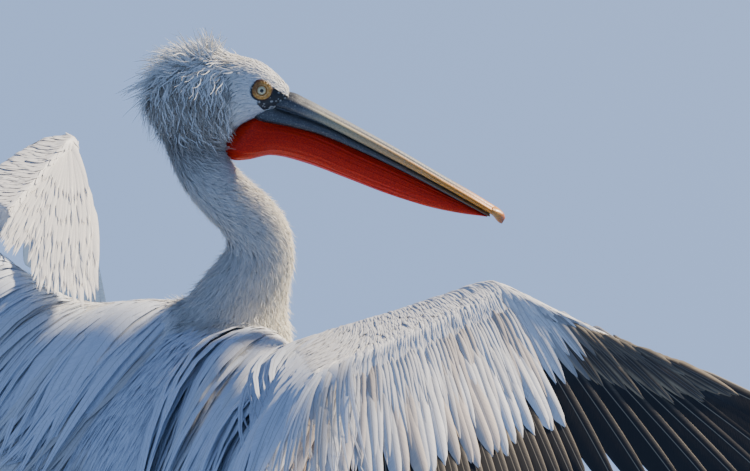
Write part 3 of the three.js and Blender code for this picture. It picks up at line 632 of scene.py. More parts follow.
def headForm():
    ahead, half, _, height, across, _ = ringForm(headRows, 60, 48, 2.1)
    form = closedForm("headForm", fromHead(ahead / 1000, half * across / 1000, height / 1000), None)
    data = form.data
    bpy.data.objects.remove(form)
    return data


class Mesh:  # points, triangles and neighbours of a surface
    def __init__(self, data):
        self.points, self.faces = arraysOf(data)
        edges = np.empty(len(data.edges) * 2, np.int32)
        data.edges.foreach_get("vertices", edges)
        self.edges = edges.reshape(-1, 2)
        self.counts = np.maximum(np.bincount(edges, minlength=len(self.points)), 1)[:, None]

    def around(self, values):  # the mean of each point's neighbours
        total = np.zeros_like(values)
        np.add.at(total, self.edges[:, 0], values[self.edges[:, 1]])
        np.add.at(total, self.edges[:, 1], values[self.edges[:, 0]])
        return total / self.counts

    def spread(self, values, rounds, share=0.5):
        for _ in range(rounds):
            values = values + share * (self.around(values) - values)
        return values

    def normals(self):
        a, b, c = (self.points[self.faces[:, k]] for k in range(3))
        own = np.cross(b - a, c - a)
        normals = np.zeros_like(self.points)
        for corner in range(3):
            np.add.at(normals, self.faces[:, corner], own)
        return unit(normals), np.linalg.norm(own, axis=1) / 2


def nearestOn(tree, points):  # the nearest surface point to each point, its normal and its face
    found = [tree.find_nearest(Vector(p)) for p in points]
    return tuple(np.array([f[k] for f in found]) for k in range(3))


def fleshTree():
    points, faces, nodes, start = [], [], [], 0
    for index, name in enumerate(fleshNames):
        nodePoints, nodeFaces = arraysOf(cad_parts[name].data)
        points.append(nodePoints)
        faces.append(nodeFaces + start)
        nodes += [index] * len(nodeFaces)
        start += len(nodePoints)
    tree = BVHTree.FromPolygons(np.concatenate(points).tolist(), np.concatenate(faces).tolist())
    return tree, np.array(nodes)


def closedSkin():
    source = bmesh.new()
    for data in [grownNode(name) for name in fleshNames if name != "head"] + [headForm()]:
        source.from_mesh(data)
    data = bpy.data.meshes.new("skin")
    source.to_mesh(data)
    source.free()
    obj = bpy.data.objects.new("skin", data)
    bpy.context.scene.collection.objects.link(obj)
    remesh = obj.modifiers.new("close", "REMESH")
    remesh.mode, remesh.voxel_size = "VOXEL", skinLook["voxel"]
    closed = bpy.data.meshes.new_from_object(obj.evaluated_get(bpy.context.evaluated_depsgraph_get()))
    obj.modifiers.clear()
    obj.data = closed
    mesh = bmesh.new()
    mesh.from_mesh(closed)
    ahead, height = skinLook["faceMiddle"]
    for _ in range(2):  # finer round the eyes and the base of the bill
        mesh.verts.ensure_lookup_table()
        local = toHead(np.array([v.co for v in mesh.verts]))
        near = np.hypot(local[:, 0] - ahead, local[:, 2] - height) < skinLook["faceReach"]
        near &= local[:, 2] > 0.3
        chosen = [e for e in mesh.edges if near[e.verts[0].index] and near[e.verts[1].index]]
        bmesh.ops.subdivide_edges(mesh, edges=chosen, cuts=1, use_grid_fill=True)
    bmesh.ops.triangulate(mesh, faces=[f for f in mesh.faces if len(f.verts) > 4])
    mesh.to_mesh(closed)
    mesh.free()
    return obj


# The share of bare skin (the lores ahead of each eye and a ring round it), and the distance from the eye
def inFace(local):
    corners = np.array(skinLook["lores"]) / 1000
    place = local[:, [0, 2]]
    edges = np.roll(corners, -1, 0) - corners
    outward = unit(np.stack([-edges[:, 1], edges[:, 0]], 1))
    beyond = ((place[:, None] - corners) * outward).sum(-1).max(1)
    ring = np.hypot(local[:, 0] - eyeAhead, local[:, 2] - eyeHeight)
    bare = np.maximum(ease(0.0012, -0.0012, beyond), ease(*skinLook["ring"], ring))
    return np.where(np.abs(local[:, 1]) > 0.006, bare, 0), ring


def turnedBack(way, side=1):  # a way or its opposite, whichever faces back across the body from a wing
    return way * np.sign(way @ np.array([-side, 1, 0.3]))


skin = closedSkin()
body = Mesh(skin.data)
fleshBvh, fleshOfFace = fleshTree()
_, _, nearest = nearestOn(fleshBvh, body.points)
fleshOf = fleshOfFace[nearest]
kindOf = np.array([fleshKinds[name] for name in fleshNames])[fleshOf]
print("skin closed:", len(body.points), "points")

soft = body.spread(np.array([skinLook["softness"][kind] for kind in kindOf])[:, None], 8)
for _ in range(skinLook["smoothing"]):
    body.points = body.points + 0.5 * soft * (body.around(body.points) - body.points)
for wing in wings:  # the roll along the top of the forearm
    elbow, wrist = wing.joints[1], wing.joints[2]
    bone = unit(wrist - elbow)
    outward = elbow - wing.edgeRoot
    outward = unit(outward - (outward @ bone) * bone)
    away = body.points - elbow
    share = (away @ bone) / np.linalg.norm(wrist - elbow)
    beyond = away @ outward
    off = np.linalg.norm(away - (away @ bone)[:, None] * bone, axis=1)
    amount = ease(-0.014, 0.018, beyond) * ease(0.05, 0.03, off)
    amount = amount * ease(-0.1, 0.1, share) * ease(1.04, 0.95, share)
    swell = throughRows(skinLook["swell"][wing.name], np.clip(share, 0, 1))[:, 1]
    amount = amount * swell * (kindOf == "wing")
    body.points = body.points + outward * amount[:, None]
    facing = turnedBack(unit(np.cross(bone, outward)), wing.side)
    bulge = ease(-0.004, 0.014, away @ facing) * ease(-0.030, -0.014, beyond) * ease(0.06, 0.04, off)
    bulge = bulge * ease(-0.05, 0.15, share) * ease(1.02, 0.85, share) * (kindOf == "wing")
    body.points = body.points + facing * (bulge * skinLook["roll"][wing.name])[:, None]
    if wing.name == "left":
        web = (fleshOf == fleshNames.index("patagium_left")) * ease(0.022, 0.05, off)
        web = web * ease(0.0, 0.10, -beyond)
        body.points = body.points + (wrist - body.points) * (web * skinLook["drawnIn"])[:, None]
    # soft feathering fills the hollow between the shoulder and the arm
    way = unit(elbow - wing.joints[0])
    start = wing.edgeRoot - way * 0.05
    along = np.clip((body.points - start) @ way, 0, 0.17)
    gap = np.linalg.norm(body.points - start - along[:, None] * way, axis=1)
    close = ease(0.12, 0.05, gap) * np.isin(kindOf, ("upper", "wing", "trunk"))
    for _ in range(3):
        normals, _ = body.normals()
        lift = ((body.spread(body.points, 70) - body.points) * normals).sum(1)
        body.points = body.points + normals * (np.maximum(lift, 0) * close)[:, None]
    body.points = body.points + (body.spread(body.points, 20) - body.points) * close[:, None]
local = toHead(body.points)
bare, eyeRing = inFace(local)
depth = np.array([skinLook["depth"][kind] for kind in kindOf])
depth = body.spread(depth[:, None], 12)[:, 0]
onFace = ease(-0.01, 0.05, local[:, 0]) * (local[:, 2] > 0.3)
depth = depth * (1 - 0.62 * onFace) * (1 - bare) + 0.0006 * bare
dip = skinLook["socket"] * ease(0.017, 0.008, eyeRing) * (kindOf == "head")
skinNormals, _ = body.normals()
body.points = body.points - skinNormals * (skinLook["grow"] * (kindOf != "head") + depth + dip)[:, None]
skin.data.vertices.foreach_set("co", body.points.astype(np.float32).ravel())
skin.data.update()
skinNormals, faceAreas = body.normals()
skinTree = BVHTree.FromPolygons(body.points.tolist(), body.faces.tolist())


def cloud(points, size, seed):  # smooth noise between 0 and 1, with features about as large as size
    grid = np.random.default_rng(seed).random((24, 24, 24))
    scaled = np.asarray(points) / size
    cell = np.floor(scaled).astype(int)
    part = scaled - cell
    part = part * part * (3 - 2 * part)
    total = 0
    for step in np.ndindex(2, 2, 2):
        weight = np.prod(np.where(np.array(step) == 1, part, 1 - part), -1)
        i, j, k = np.moveaxis((cell + step) % 24, -1, 0)
        total = total + weight * grid[i, j, k]
    return total


# The lie of the coat. Each point of the skin knows the way its feathers point, their length, half
# width, rise and colour.
coatLook = {
    # throat: the cream of the neck's sunlit front, painted light
    "face": "efede7", "crown": "ece7da", "nape": "aca294", "neck": "dcd9d1", "throat": "f3ead2",
    # back: white plumage tinted bluish, painted shade of the blue sky fill
    "back": "e2e8f0", "backStain": "c9b99c", "wing": "f1efeb", "wingStain": "b98f58", "belly": "efece4",
    "napeShade": "3e3d3c",  # the down between the locks, painted very dark as the shade that falls there
    "handBrown": "5a4e42",
}
trunkPitch = math.radians(24)
trunkWay = np.array([0, math.cos(trunkPitch), -math.sin(trunkPitch)])
neckOrder = np.linspace(0, 10, 161)
neckLine = throughRows(neckRows, neckOrder)
neckLine = fromHead(neckLine[:, 1] / 1000, 0, neckLine[:, 2] / 1000)
neckWays = -unit(np.gradient(neckLine, axis=0))  # down the neck


def placeOnWing(wing, points, low, high):  # place along the wing and reach behind the bones
    places = np.linspace(low, high, 60)
    bones, lies = wing.bone(places), wing.lie(places, low >= 2)
    normals = wing.normal(np.clip(places, 0.02, 2.98), low >= 2)
    away = points[:, None] - bones
    reach = (away * lies).sum(-1)
    left = away - reach[..., None] * lies
    left = left - (left * normals).sum(-1)[..., None] * normals
    best = (left**2).sum(-1).argmin(1)
    rows = np.arange(len(points))
    above = (away[rows, best] * normals[best]).sum(-1)
    return places[best], reach[rows, best], above


flow = np.tile(trunkWay, (len(body.points), 1))
length = np.full(len(body.points), 0.05)
half = np.full(len(body.points), 0.0035)
rise = np.full(len(body.points), 0.0055)
# the back's bluish white is painted sky shade
tint = np.tile(linear(coatLook["back"]), (len(body.points), 1))
wingPlace, wingReach = np.full(len(body.points), -1.0), np.zeros(len(body.points))
fromBase = body.points - neckBase

# trunk: fanning out from the neck's base, longer toward the tail
onTrunk = kindOf == "trunk"
sideways = np.clip(2.6 * fromBase[:, 0] - 0.12, -0.75, 0.6)
flow[onTrunk] = (trunkWay + sideways[:, None] * np.array([1, 0, 0]))[onTrunk]
behind = fromBase @ trunkWay
length = np.where(onTrunk, 0.030 + 0.055 * ease(0.02, 0.42, behind), length)
under = ease(-0.05, -0.30, fromBase[:, 2] + 0.45 * fromBase[:, 1])
stain = ease(0.52, 0.75, cloud(body.points, 0.05, 5)) * ease(0.1, 0.3, behind) * (1 - under)
trunkTint = blendedTint(tint, (coatLook["backStain"], stain * 0.6), (coatLook["belly"], under))
tint = np.where(onTrunk[:, None], trunkTint, tint)

# neck: down it, swept forward round both sides below the head
onNeck = kindOf == "neck"
order = np.zeros(len(body.points))
square = ((body.points[onNeck][:, None] - neckLine) ** 2).sum(-1)
order[onNeck] = neckOrder[square.argmin(1)]
onLine = np.clip((order / 10 * 160).astype(int), 0, 160)
# by order up the neck: how far the feathers sweep forward, their length and their half width
neckCoat = {"sweep": [[0, 0.0], [2, 0.15], [4, 0.4], [6, 0.9], [7.5, 1.15], [9, 0.75], [10, 0.5]],
            "length": [[0, 0.034], [3, 0.030], [6, 0.022], [10, 0.024]],
            "half": [[0, 0.0026], [3, 0.0022], [10, 0.0017]]}
sweep, neckLength, neckHalf = (throughRows(neckCoat[key], order)[:, 1] for key in ("sweep", "length", "half"))
flow[onNeck] = (neckWays[onLine] + sweep[:, None] * headAhead)[onNeck]
length, half = np.where(onNeck, neckLength, length), np.where(onNeck, neckHalf, half)
front = ((body.points - neckLine[onLine]) @ headAhead) / 0.055
# painted light: the front of the lower neck painted cream, the warm colour of its sunlit side
throatShare = ease(0.1, 0.9, front) * ease(7.5, 5, order)
neckTint = blendedTint(linear(coatLook["neck"]), (coatLook["throat"], throatShare),
                       (coatLook["nape"], ease(7.6, 9.5, order)))
tint = np.where(onNeck[:, None], neckTint, tint)

# head: back from the bill, turning down behind the eye to hang down the nape
onHead = kindOf == "head"
local = toHead(body.points)
turning = ease(0.02, -0.055, local[:, 0]) * ease(0.455, 0.40, local[:, 2])
low = ease(0.37, 0.32, local[:, 2])
headWay = (-headAhead + upward * 0.12)[None] * (1 - turning)[:, None] - upward * turning[:, None]
headWay = headWay + headAhead * (turning * (0.15 + 0.5 * low))[:, None]
flow[onHead] = headWay[onHead]
back = ease(0.03, -0.06, local[:, 0])
length = np.where(onHead, 0.0075 + 0.013 * back, length)
half = np.where(onHead, 0.0010 + 0.0006 * back, half)
rise = np.where(onHead, 0.0022 + 0.003 * back, np.where(onNeck, 0.0062, rise))
napeShare = ease(-0.01, -0.06, local[:, 0]) * ease(0.46, 0.42, local[:, 2])
headTint = blendedTint(linear(coatLook["face"]), (coatLook["crown"], ease(0.02, -0.03, local[:, 0])),
                       (coatLook["nape"], napeShare))
tint = np.where(onHead[:, None], headTint, tint)

# thighs, upper arms and wings
onThigh = kindOf == "thigh"
flow[onThigh] = np.array([0, 0.35, -0.93])
length[onThigh], half[onThigh], rise[onThigh] = 0.034, 0.0028, 0.007
tint[onThigh] = linear(coatLook["belly"])
for wing in wings:
    for name, lowest, highest in ((f"upper_arm_{wing.name}", 0.0, 1.0), (f"patagium_{wing.name}", 1.0, 2.0),
                                  (f"forearm_{wing.name}", 1.0, 2.0), (f"hand_{wing.name}", 2.0, 2.999)):
        own = fleshOf == fleshNames.index(name)
        place, reach, above = placeOnWing(wing, body.points[own], lowest, highest)
        wingPlace[own], wingReach[own] = place, reach
        flow[own] = wing.lie(place, lowest >= 2)
        behindEdge = np.clip(reach + arm["edgeLead"], 0, 1)
        if lowest < 1:
            length[own], half[own], rise[own] = 0.046, 0.0036, 0.005
        else:
            length[own] = (0.038 if wing.name == "right" else 0.026) + 0.22 * behindEdge * (above > 0)
            half[own] = 0.0031 + 0.020 * behindEdge
            rise[own] = 0.0026
        tint[own] = linear(coatLook["wing"])
        if lowest >= 1:
            stains = ease(0.56, 0.78, cloud(body.points[own] * [1, 1, 0.6], 0.022, 11))
            stains = stains * ease(0.01, 0.03, reach) * 0.75 * (above > 0)
            tint[own] = mix(tint[own], linear(coatLook["wingStain"]), stains)
        if lowest >= 2:
            brown = ease(2.16, 2.3, place) * ease(-0.006, 0.008, reach)
            tint[own] = mix(tint[own], linear(coatLook["handBrown"]), brown)
flow = unit(flow - (flow * skinNormals).sum(1)[:, None] * skinNormals)
spreading = np.concatenate([flow, length[:, None], half[:, None], rise[:, None]], 1)
spreading = body.spread(spreading, 10)
flow = unit(spreading[:, :3] - (spreading[:, :3] * skinNormals).sum(1)[:, None] * skinNormals)
length, half, rise = spreading[:, 3:].T
tint = body.spread(tint, 2)
# painted shade between the locks of the nape and upper neck, over the grey down there
downAndGapShade = ease(-0.005, -0.05, local[:, 0]) * onHead * ease(0.445, 0.41, local[:, 2])
downAndGapShade = np.maximum(downAndGapShade, onNeck * ease(6.8, 9.0, order) * 0.8)
downAndGapShade = body.spread(downAndGapShade[:, None], 8)[:, 0]
print("lie of the coat set")


# Laying feathers. Each is a thin arched vane along a line; its two webs may differ in width.
plainVane = {
    "outer": 1.0, "inner": 1.0, "tip": 0.12,  # width of each web and of the tip
    "arch": 0.25, "twist": 0.0,  # rise of the middle, and of one edge over the other, by the half width
    "fray": 0, "rootShade": 0.8, "uneven": 0.07,  # ragged tip, painted shade at the root, and tone that differs at random from one to the next
    "patch": 0.003,  # side of each vane's place on the map for baking
    "stray": 0.12, "length": 1, "width": 1, "rise": 1, "steps": 2, "downAndGapShade": 0,  # over the skin's own lie
    "jitter": 0.006, "unequal": 0.03, "sway": 0.035, "stain": 0.45, "onHand": False,  # in a row on a wing
}


def layVanes(lines, normals, halves, look, tints, seats, hand=1):
    look = plainVane | look
    count, rows = lines.shape[:2]
    grid = (count, rows, look["columns"])
    share, across = np.linspace(0, 1, rows), np.linspace(-1, 1, look["columns"])
    ways = unit(np.gradient(lines, axis=1))
    sides = unit(np.cross(normals, ways)) * hand
    roundness, fullness = look["shape"]
    outline = (1 - share ** roundness) ** fullness * (0.35 + 0.65 * ease(0, 0.22, share))
    width = (halves[:, None] * np.maximum(outline, look["tip"]))[..., None]
    webs = np.where(across > 0, look["outer"], look["inner"]) * across
    lift = look["arch"] * (1 - across**2) + look["twist"] * across
    points = (lines[:, :, None] + sides[:, :, None] * (width * webs)[..., None]
              + normals[:, :, None] * (width * lift)[..., None])
    size = np.linalg.norm(lines[:, -1] - lines[:, 0], axis=1)[:, None]
    fray = look["fray"] * size[..., None] * (random.random((count, 1, look["columns"])) - 0.7)
    points = points + ways[:, :, None] * (fray * (share**3)[:, None])[..., None]
    # painted shade: each vane darkens toward its root, where the feathers over it cover it
    shade = between(look["rootShade"], 1, ease(0, 0.6, share))[:, None]
    shade = shade * (1 + look["uneven"] * random.normal(0, 1, (count, 1, 1)))
    colours = np.broadcast_to(tints, (count, 3))[:, None, None] * np.broadcast_to(shade, grid)[..., None]
    vane = np.stack(np.broadcast_arrays(width * webs, (share * size)[..., None]), -1)
    vane = vane + np.array([0, 1.0]) * random.integers(0, 40, (count, 1, 1, 1))  # each its own grain
    patch = look["patch"]
    bake = np.stack(np.broadcast_arrays((across + 1) / 2 * patch, (share * patch)[:, None]), -1)
    bake = seats[:, None, None] + bake - patch / 2
    return {"points": points, "tint": np.clip(colours, 0, 1), "vane": vane, "bake": bake, "normals": normals}


def thicken(batch, thickness, underTint, spread):  # a second sheet below, joined round the edges
    lower = {"points": batch["points"] - batch["normals"][:, :, None] * thickness,
             "tint": between(batch["tint"], np.array(underTint), spread),
             "vane": batch["vane"], "bake": batch["bake"] + batch["underSeat"]}
    return {key: np.concatenate([batch[key], lower[key][:, :, ::-1]], 2) for key in lower} | {"wrap": True}


def joinVanes(name, batches, material, slot, *nodes):
    quads, start = [], 0
    for batch in batches:
        count, rows, columns = batch["points"].shape[:3]
        own = gridQuads(rows, columns, batch.get("wrap", False))
        quads.append((own[None] + start + np.arange(count)[:, None, None] * rows * columns).reshape(-1, 4))
        start += count * rows * columns
    points, colours, bakes, vanes = (np.concatenate([b[key].reshape(-1, b[key].shape[-1]) for b in batches])
                                     for key in ("points", "tint", "bake", "vane"))
    obj = meshFrom(name, points, np.concatenate(quads), colours, {"OFBake": bakes, "vane": vanes})
    print(name, 2 * len(obj.data.polygons), "triangles")
    return dress(obj, material, slot, *nodes)


def plumageMaterial(name, barb, shaftShare, shaftColour, roughness, sheen):
    # feather vane: fine barbs slant off a shaft, so light breaks into soft streaks with a silky edge
    material, tree, shader, tint = tintedMaterial(name)
    vane = addNode(tree, "ShaderNodeUVMap", {}, {"uv_map": "vane"})
    parts = addNode(tree, "ShaderNodeSeparateXYZ", {0: vane})
    aside = addNode(tree, "ShaderNodeMath", {0: parts}, {"operation": "ABSOLUTE"})
    slant = addNode(tree, "ShaderNodeMath", {0: parts.outputs[1], 1: aside}, {"operation": "SUBTRACT"})
    grain = addNode(tree, "ShaderNodeCombineXYZ", {0: slant, 1: parts})
    # barbs lie together in bundles about 2 mm wide and 15 mm long
    turned = addNode(tree, "ShaderNodeMapping", {"Vector": grain, "Scale": (480.0, 60.0, 1.0)})
    streak = addNode(tree, "ShaderNodeTexNoise", {"Vector": turned, "Scale": 1.0, "Detail": 3.0})
    share = addNode(tree, "ShaderNodeMapRange", {0: streak, 1: 0.35, 2: 0.7, 3: 1.0, 4: barb})
    barbed = addNode(tree, "ShaderNodeMix", {0: 1.0, 6: tint, 7: share}, multiplying).outputs[2]
    # a shaft nearly 2 mm wide
    line = addNode(tree, "ShaderNodeMapRange", {0: aside, 1: 0.0004, 2: 0.0009, 3: shaftShare, 4: 0.0})
    shafted = addNode(tree, "ShaderNodeMix", {0: line, 6: barbed, 7: shaftColour}, mixing).outputs[2]
    bump = addNode(tree, "ShaderNodeBump", {"Strength": 0.4, "Distance": 0.0006, "Height": streak})
    setSockets(tree, shader, {"Base Color": shafted, "Roughness": roughness, "Sheen Weight": sheen,
                              "Sheen Roughness": 0.45, "Normal": bump})
    return material


softFinish = plumageMaterial("soft_body_plumage", 0.82, 0.0, "cfcac0", 0.72, 0.12)
covertFinish = plumageMaterial("smooth_covert_plumage", 0.84, 0.45, "8f8573", 0.62, 0.12)
flightFinish = plumageMaterial("stiff_flight_plumage", 0.70, 0.75, "a8997f", 0.64, 0.0)

# Wings. A row of feathers roots between two places along the wing: its reaches are where the
# feathers root and end, and its height is how far it lies over the middle of the wing.
white, cream = np.array(linear("f1efeb")), np.array(linear("f0e6cf"))
flightLook = {
    "dark": "1f1b18", "edge": "6a5e4e", "grey": "8b8a88",
    # the left wing's undersides are painted whiter than the right's: painted light where they lie in shade
    "under": {"left": "fbf5e6", "right": "c9c4b8"}, "underShare": {"left": 0.95, "right": 0.8},
    # the strip is each row's own part of the map for baking
    "secondaries": {"count": 47, "half": 0.0185, "outer": 0.62, "columns": 12, "rows": 16, "shape": (6, 0.5),
                    "twist": 0.12, "strip": (0.01, 0.80)},
    "primaries": {"count": 10, "half": 0.027, "outer": 0.5, "columns": 14, "rows": 30, "shape": (5, 0.55),
                  "twist": 0.14, "strip": (0.82, 0.99)},
    "both": {"inner": 1.25, "arch": 0.1, "fray": 0.012, "rootShade": 1, "tip": 0.02},
}
covert = {"side": 1, "span": (0.96, 1.99), "columns": 5, "twist": 0.2, "fray": 0.08}
primaryCovert = {"side": 1, "onHand": True, "columns": 5, "twist": 0.2, "rootShade": 1}
underCovert = {"side": -1, "columns": 5, "shape": (3, 0.7), "twist": 0.15, "fray": 0.10}
rowLooks = [
    # upper side: greater, median and lesser coverts
    covert | {"span": (1.0, 1.985), "count": 27, "reach": (0.070, 0.232), "height": (0.008, 0.0035),
        "half": 0.0150, "outer": 0.8, "inner": 1.15, "columns": 9, "rows": 12, "shape": (5, 0.5),
        "twist": 0.16, "fray": 0.03},
    covert | {"span": (0.98, 1.99), "count": 40, "reach": (0.055, 0.185), "height": (0.011, 0.0062),
        "half": 0.0105, "outer": 0.9, "inner": 1.1, "columns": 7, "rows": 10, "shape": (3.2, 0.7),
        "twist": 0.18, "fray": 0.06},
    covert | {"count": 58, "reach": (0.045, 0.150), "height": (0.0125, 0.0085), "half": 0.0074, "rows": 9,
        "shape": (2.4, 0.85)},
    covert | {"count": 76, "reach": (0.030, 0.118), "height": (0.0155, 0.0105), "half": 0.0060, "rows": 8,
        "shape": (2.2, 0.9)},
    # narrow pointed feathers that cascade over the coverts
    covert | {"count": 300, "reach": (0.0, 0.052), "height": (0.011, 0.0125), "half": 0.0042, "columns": 4,
        "rows": 7, "shape": (1.9, 0.85), "twist": 0.1, "fray": 0.06, "spread": (0.012, 0.150), "sway": 0.07,
        "stain": 0.8, "uneven": 0.05},
    # primary coverts: white near the wrist, then brown with pale edges
    primaryCovert | {"span": (2.0, 2.97), "count": 26, "reach": (0.020, 0.165), "height": (0.008, 0.0040),
        "half": 0.0105, "columns": 7, "rows": 11, "shape": (3.2, 0.7), "fray": 0.04, "tint": "3a3029",
        "edge": "c9ae84", "darkFrom": (2.10, 2.22)},
    primaryCovert | {"span": (2.0, 2.86), "count": 32, "reach": (0.012, 0.100), "height": (0.010, 0.0075),
        "half": 0.0075, "rows": 9, "shape": (2.6, 0.8), "fray": 0.05, "tint": "3d322a", "edge": "d3bd96",
        "darkFrom": (2.2, 2.4)},
    primaryCovert | {"span": (2.0, 2.72), "count": 36, "reach": (-0.15, 0.060), "height": (0.004, 0.0070),
        "half": 0.0060, "rows": 8, "shape": (2.4, 0.8), "fray": 0.06, "tint": "4a3c31", "edge": "e3d3b5",
        "darkFrom": (2.4, 2.75)},
    # under side: of the hand, the forearm and the upper arm, with shorter ones over the forearm's
    underCovert | {"onHand": True, "span": (2.0, 2.95), "count": 30, "reach": (0.0, 0.190),
        "height": (0.010, 0.0040), "half": 0.0110, "rows": 10},
    underCovert | {"span": (1.0, 1.985), "count": 30, "reach": (0.030, 0.210), "height": (0.016, 0.0045),
        "half": 0.0120, "columns": 7, "rows": 11},
    underCovert | {"span": (0.12, 1.04), "count": 34, "reach": (0.020, 0.230), "height": (0.020, 0.0045),
        "half": 0.0130, "rows": 10},
    underCovert | {"span": (1.0, 1.985), "count": 46, "reach": (0.010, 0.135), "height": (0.021, 0.0085),
        "half": 0.0080, "rows": 9, "shape": (2.4, 0.85)},
]


def alongLine(start, end, rows):  # even steps from a start to an end, for each feather
    return between(start[:, None], end[:, None], np.linspace(0, 1, rows))


def wingLines(wing, places, reaches, heights, onHand, rows):  # lines from root to tip, and their normals
    reach, height = alongLine(*reaches, rows), alongLine(*heights, rows)
    everyPlace = np.broadcast_to(places[:, None], reach.shape)
    flat = wing.surface(everyPlace.ravel(), reach.ravel(), onHand).reshape(*reach.shape, 3)
    up = wing.normal(np.clip(places, 0.02, 2.98), onHand)[:, None]
    droop = arm["droop"] * np.maximum(reach, 0) ** 2
    return flat + up * (height - droop)[..., None], np.broadcast_to(up, flat.shape)


def wingSeats(places, reach, side):  # on an unwrap of the wing: along it, and behind the bones on each side
    return np.stack([0.02 + 0.96 * places / 3, 0.5 + side * (0.03 + 0.45 * np.clip(reach / 0.2, 0, 1))], 1)


def coverRow(wing, look):
    look = plainVane | look
    count, rows, onHand, side = look["count"], look["rows"], look["onHand"], look["side"]
    low, high = (2.001, 2.998) if onHand else (0.02, 1.998)
    places = np.clip(np.linspace(*look["span"], count) + random.normal(0, look["jitter"], count), low, high)
    root, tip = look["reach"]
    shorter = 1 - 0.10 * ease(1.3, 1.0, places) + random.normal(0, look["unequal"], count)
    if onHand:
        shorter = shorter * throughRows([[2, 0.9], [2.6, 1.1], [3, 0.9]], places)[:, 1]
    roots = root + random.normal(0, 0.003, count)
    if "spread" in look:  # roots all over the wing rather than in one row
        roots = roots + random.uniform(*look["spread"], count)
    tips = roots + (tip - root) * shorter
    sinking = 0.05 * np.maximum(roots - root, 0) if "spread" in look else 0
    heights = [side * (h - sinking + random.normal(0, 0.0004, count)) for h in look["height"]]
    lines, normals = wingLines(wing, places, (roots, tips), heights, onHand, rows)
    sway = random.normal(0, look["sway"], (count, 1)) * np.linspace(0, 1, rows) ** 1.3 * (tip - root)
    sideways = unit(np.cross(normals, unit(np.gradient(lines, axis=1))))
    lines = lines + sideways * sway[..., None]
    tints = np.tile(white if side > 0 else cream, (count, 1))
    if "tint" in look:
        dark = ease(*look["darkFrom"], places) if side > 0 else np.zeros(count)
        tints = mix(tints, linear(look["tint"]), dark)
    elif side > 0:
        stains = ease(0.5, 0.68, cloud(lines[:, rows // 2], 0.035, 17))
        tints = mix(tints, linear(coatLook["wingStain"]), stains * look["stain"])
    seats = wingSeats(places, roots, side)
    halves = look["half"] * np.exp(random.normal(0, 0.08, count))
    batch = layVanes(lines, normals * side, halves, look, tints, seats, -wing.side * side)
    if "edge" in look:  # pale outer edges
        across = np.linspace(-1, 1, look["columns"])
        pale = ease(0.2, 0.8, np.abs(across)) * (0.3 + 0.7 * cloud(batch["points"], 0.02, 21))
        batch["tint"] = mix(batch["tint"], linear(look["edge"]), pale * 0.8 * dark[:, None, None])
    return batch


def flightRow(wing, look, places, tips, onHand, paleness):
    look = flightLook["both"] | look
    count, rows = len(places), look["rows"]
    reaches, heights = (np.full(count, 0.030), tips), (np.full(count, 0.0015), np.zeros(count))
    lines, normals = wingLines(wing, places, reaches, heights, onHand, rows)
    dark, halves = linear(flightLook["dark"]), np.full(count, look["half"])
    batch = layVanes(lines, normals, halves, look, dark, np.zeros((count, 2)), -wing.side)
    across, share = np.linspace(-1, 1, look["columns"]), np.linspace(0, 1, rows)[:, None]
    # pale along the outer web and greyer at its base, dark within
    edge = ease(0.4, 0.8, across) * (0.35 + 0.65 * ease(1.0, 0.7, share))
    edge = edge * (0.5 + 0.5 * cloud(batch["points"], 0.03, 3))
    batch["tint"] = blendedTint(
        dark, (flightLook["edge"], edge), (flightLook["grey"], ease(0.4, 0.15, share) * 0.15),
        (coatLook["wing"], paleness[:, None, None]))
    # each long feather has its own strip of the map, one half for each side of it
    low, high = look["strip"]
    strip = (high - low) / count
    middle = low + (high - low) * (np.arange(count) + 0.5) / count
    onStrip = middle[:, None, None] - strip / 2 + (across + 1) / 2 * strip * 0.46
    batch["bake"] = np.stack(np.broadcast_arrays(onStrip, 0.01 + 0.98 * share), -1)
    batch["underSeat"] = np.array([strip * 0.5, 0])
    return thicken(batch, 0.0007, linear(flightLook["under"][wing.name]), flightLook["underShare"][wing.name])


def dressWing(wing):
    rows = [coverRow(wing, look) for look in rowLooks]
    look = flightLook["secondaries"]
    places = np.linspace(0.005, 1.975, look["count"])
    tips = np.interp(places, [0, 1, 1.333, 2], [0.372, 0.390, 0.335, 0.335])
    tips = tips * 0.985 + random.normal(0, 0.002, len(places))
    secondaries = flightRow(wing, look, places, tips, False, ease(1.25, 0.85, places) * 0.97)
    look = flightLook["primaries"]
    places = 2 + (np.arange(look["count"]) + 0.5) / look["count"]
    tips = throughRows([[2, 0.350], [2.72, 0.470], [3, 0.415]], places)[:, 1]
    primaries = flightRow(wing, look, places, tips, True, np.zeros(len(places)))
    joinVanes(f"flight_{wing.name}", [secondaries, primaries], flightFinish, "dark_plumage",
              f"tertials_{wing.name}", f"secondaries_{wing.name}", f"primaries_{wing.name}")
    joinVanes(f"coverts_{wing.name}", rows, covertFinish, "white_plumage")


for wing in wings:
    dressWing(wing)
print("wings dressed")


# Coat over the skin: feathers rooted all over it, each following the lie from its root
def onSkin(values, corners, share):  # what the skin knows at places on its faces
    return (values[corners] * (share[..., None] if values.ndim > 1 else share)).sum(1)


def sample(weight, count):  # roots spread over the faces by weight
    chance = faceAreas * weight
    chosen = random.choice(len(chance), count, p=chance / chance.sum())
    a, b = random.random((2, count))
    over = a + b > 1
    a[over], b[over] = 1 - a[over], 1 - b[over]
    return body.faces[chosen], np.stack([1 - a - b, a, b], 1)


def trace(roots, ways, lengths, steps):  # lines over the skin along the lie of the coat
    points, normals = [roots], []
    way = ways
    for _ in range(steps):
        onward, normal, face = nearestOn(skinTree, points[-1] + way * (lengths / steps)[:, None])
        following = flow[body.faces[face]].mean(1) + 0.5 * way
        way = unit(following - (following * normal).sum(1)[:, None] * normal)
        points.append(onward)
        normals.append(normal)
    normals = [normals[0]] + normals
    return np.stack(points, 1), np.stack(normals, 1)


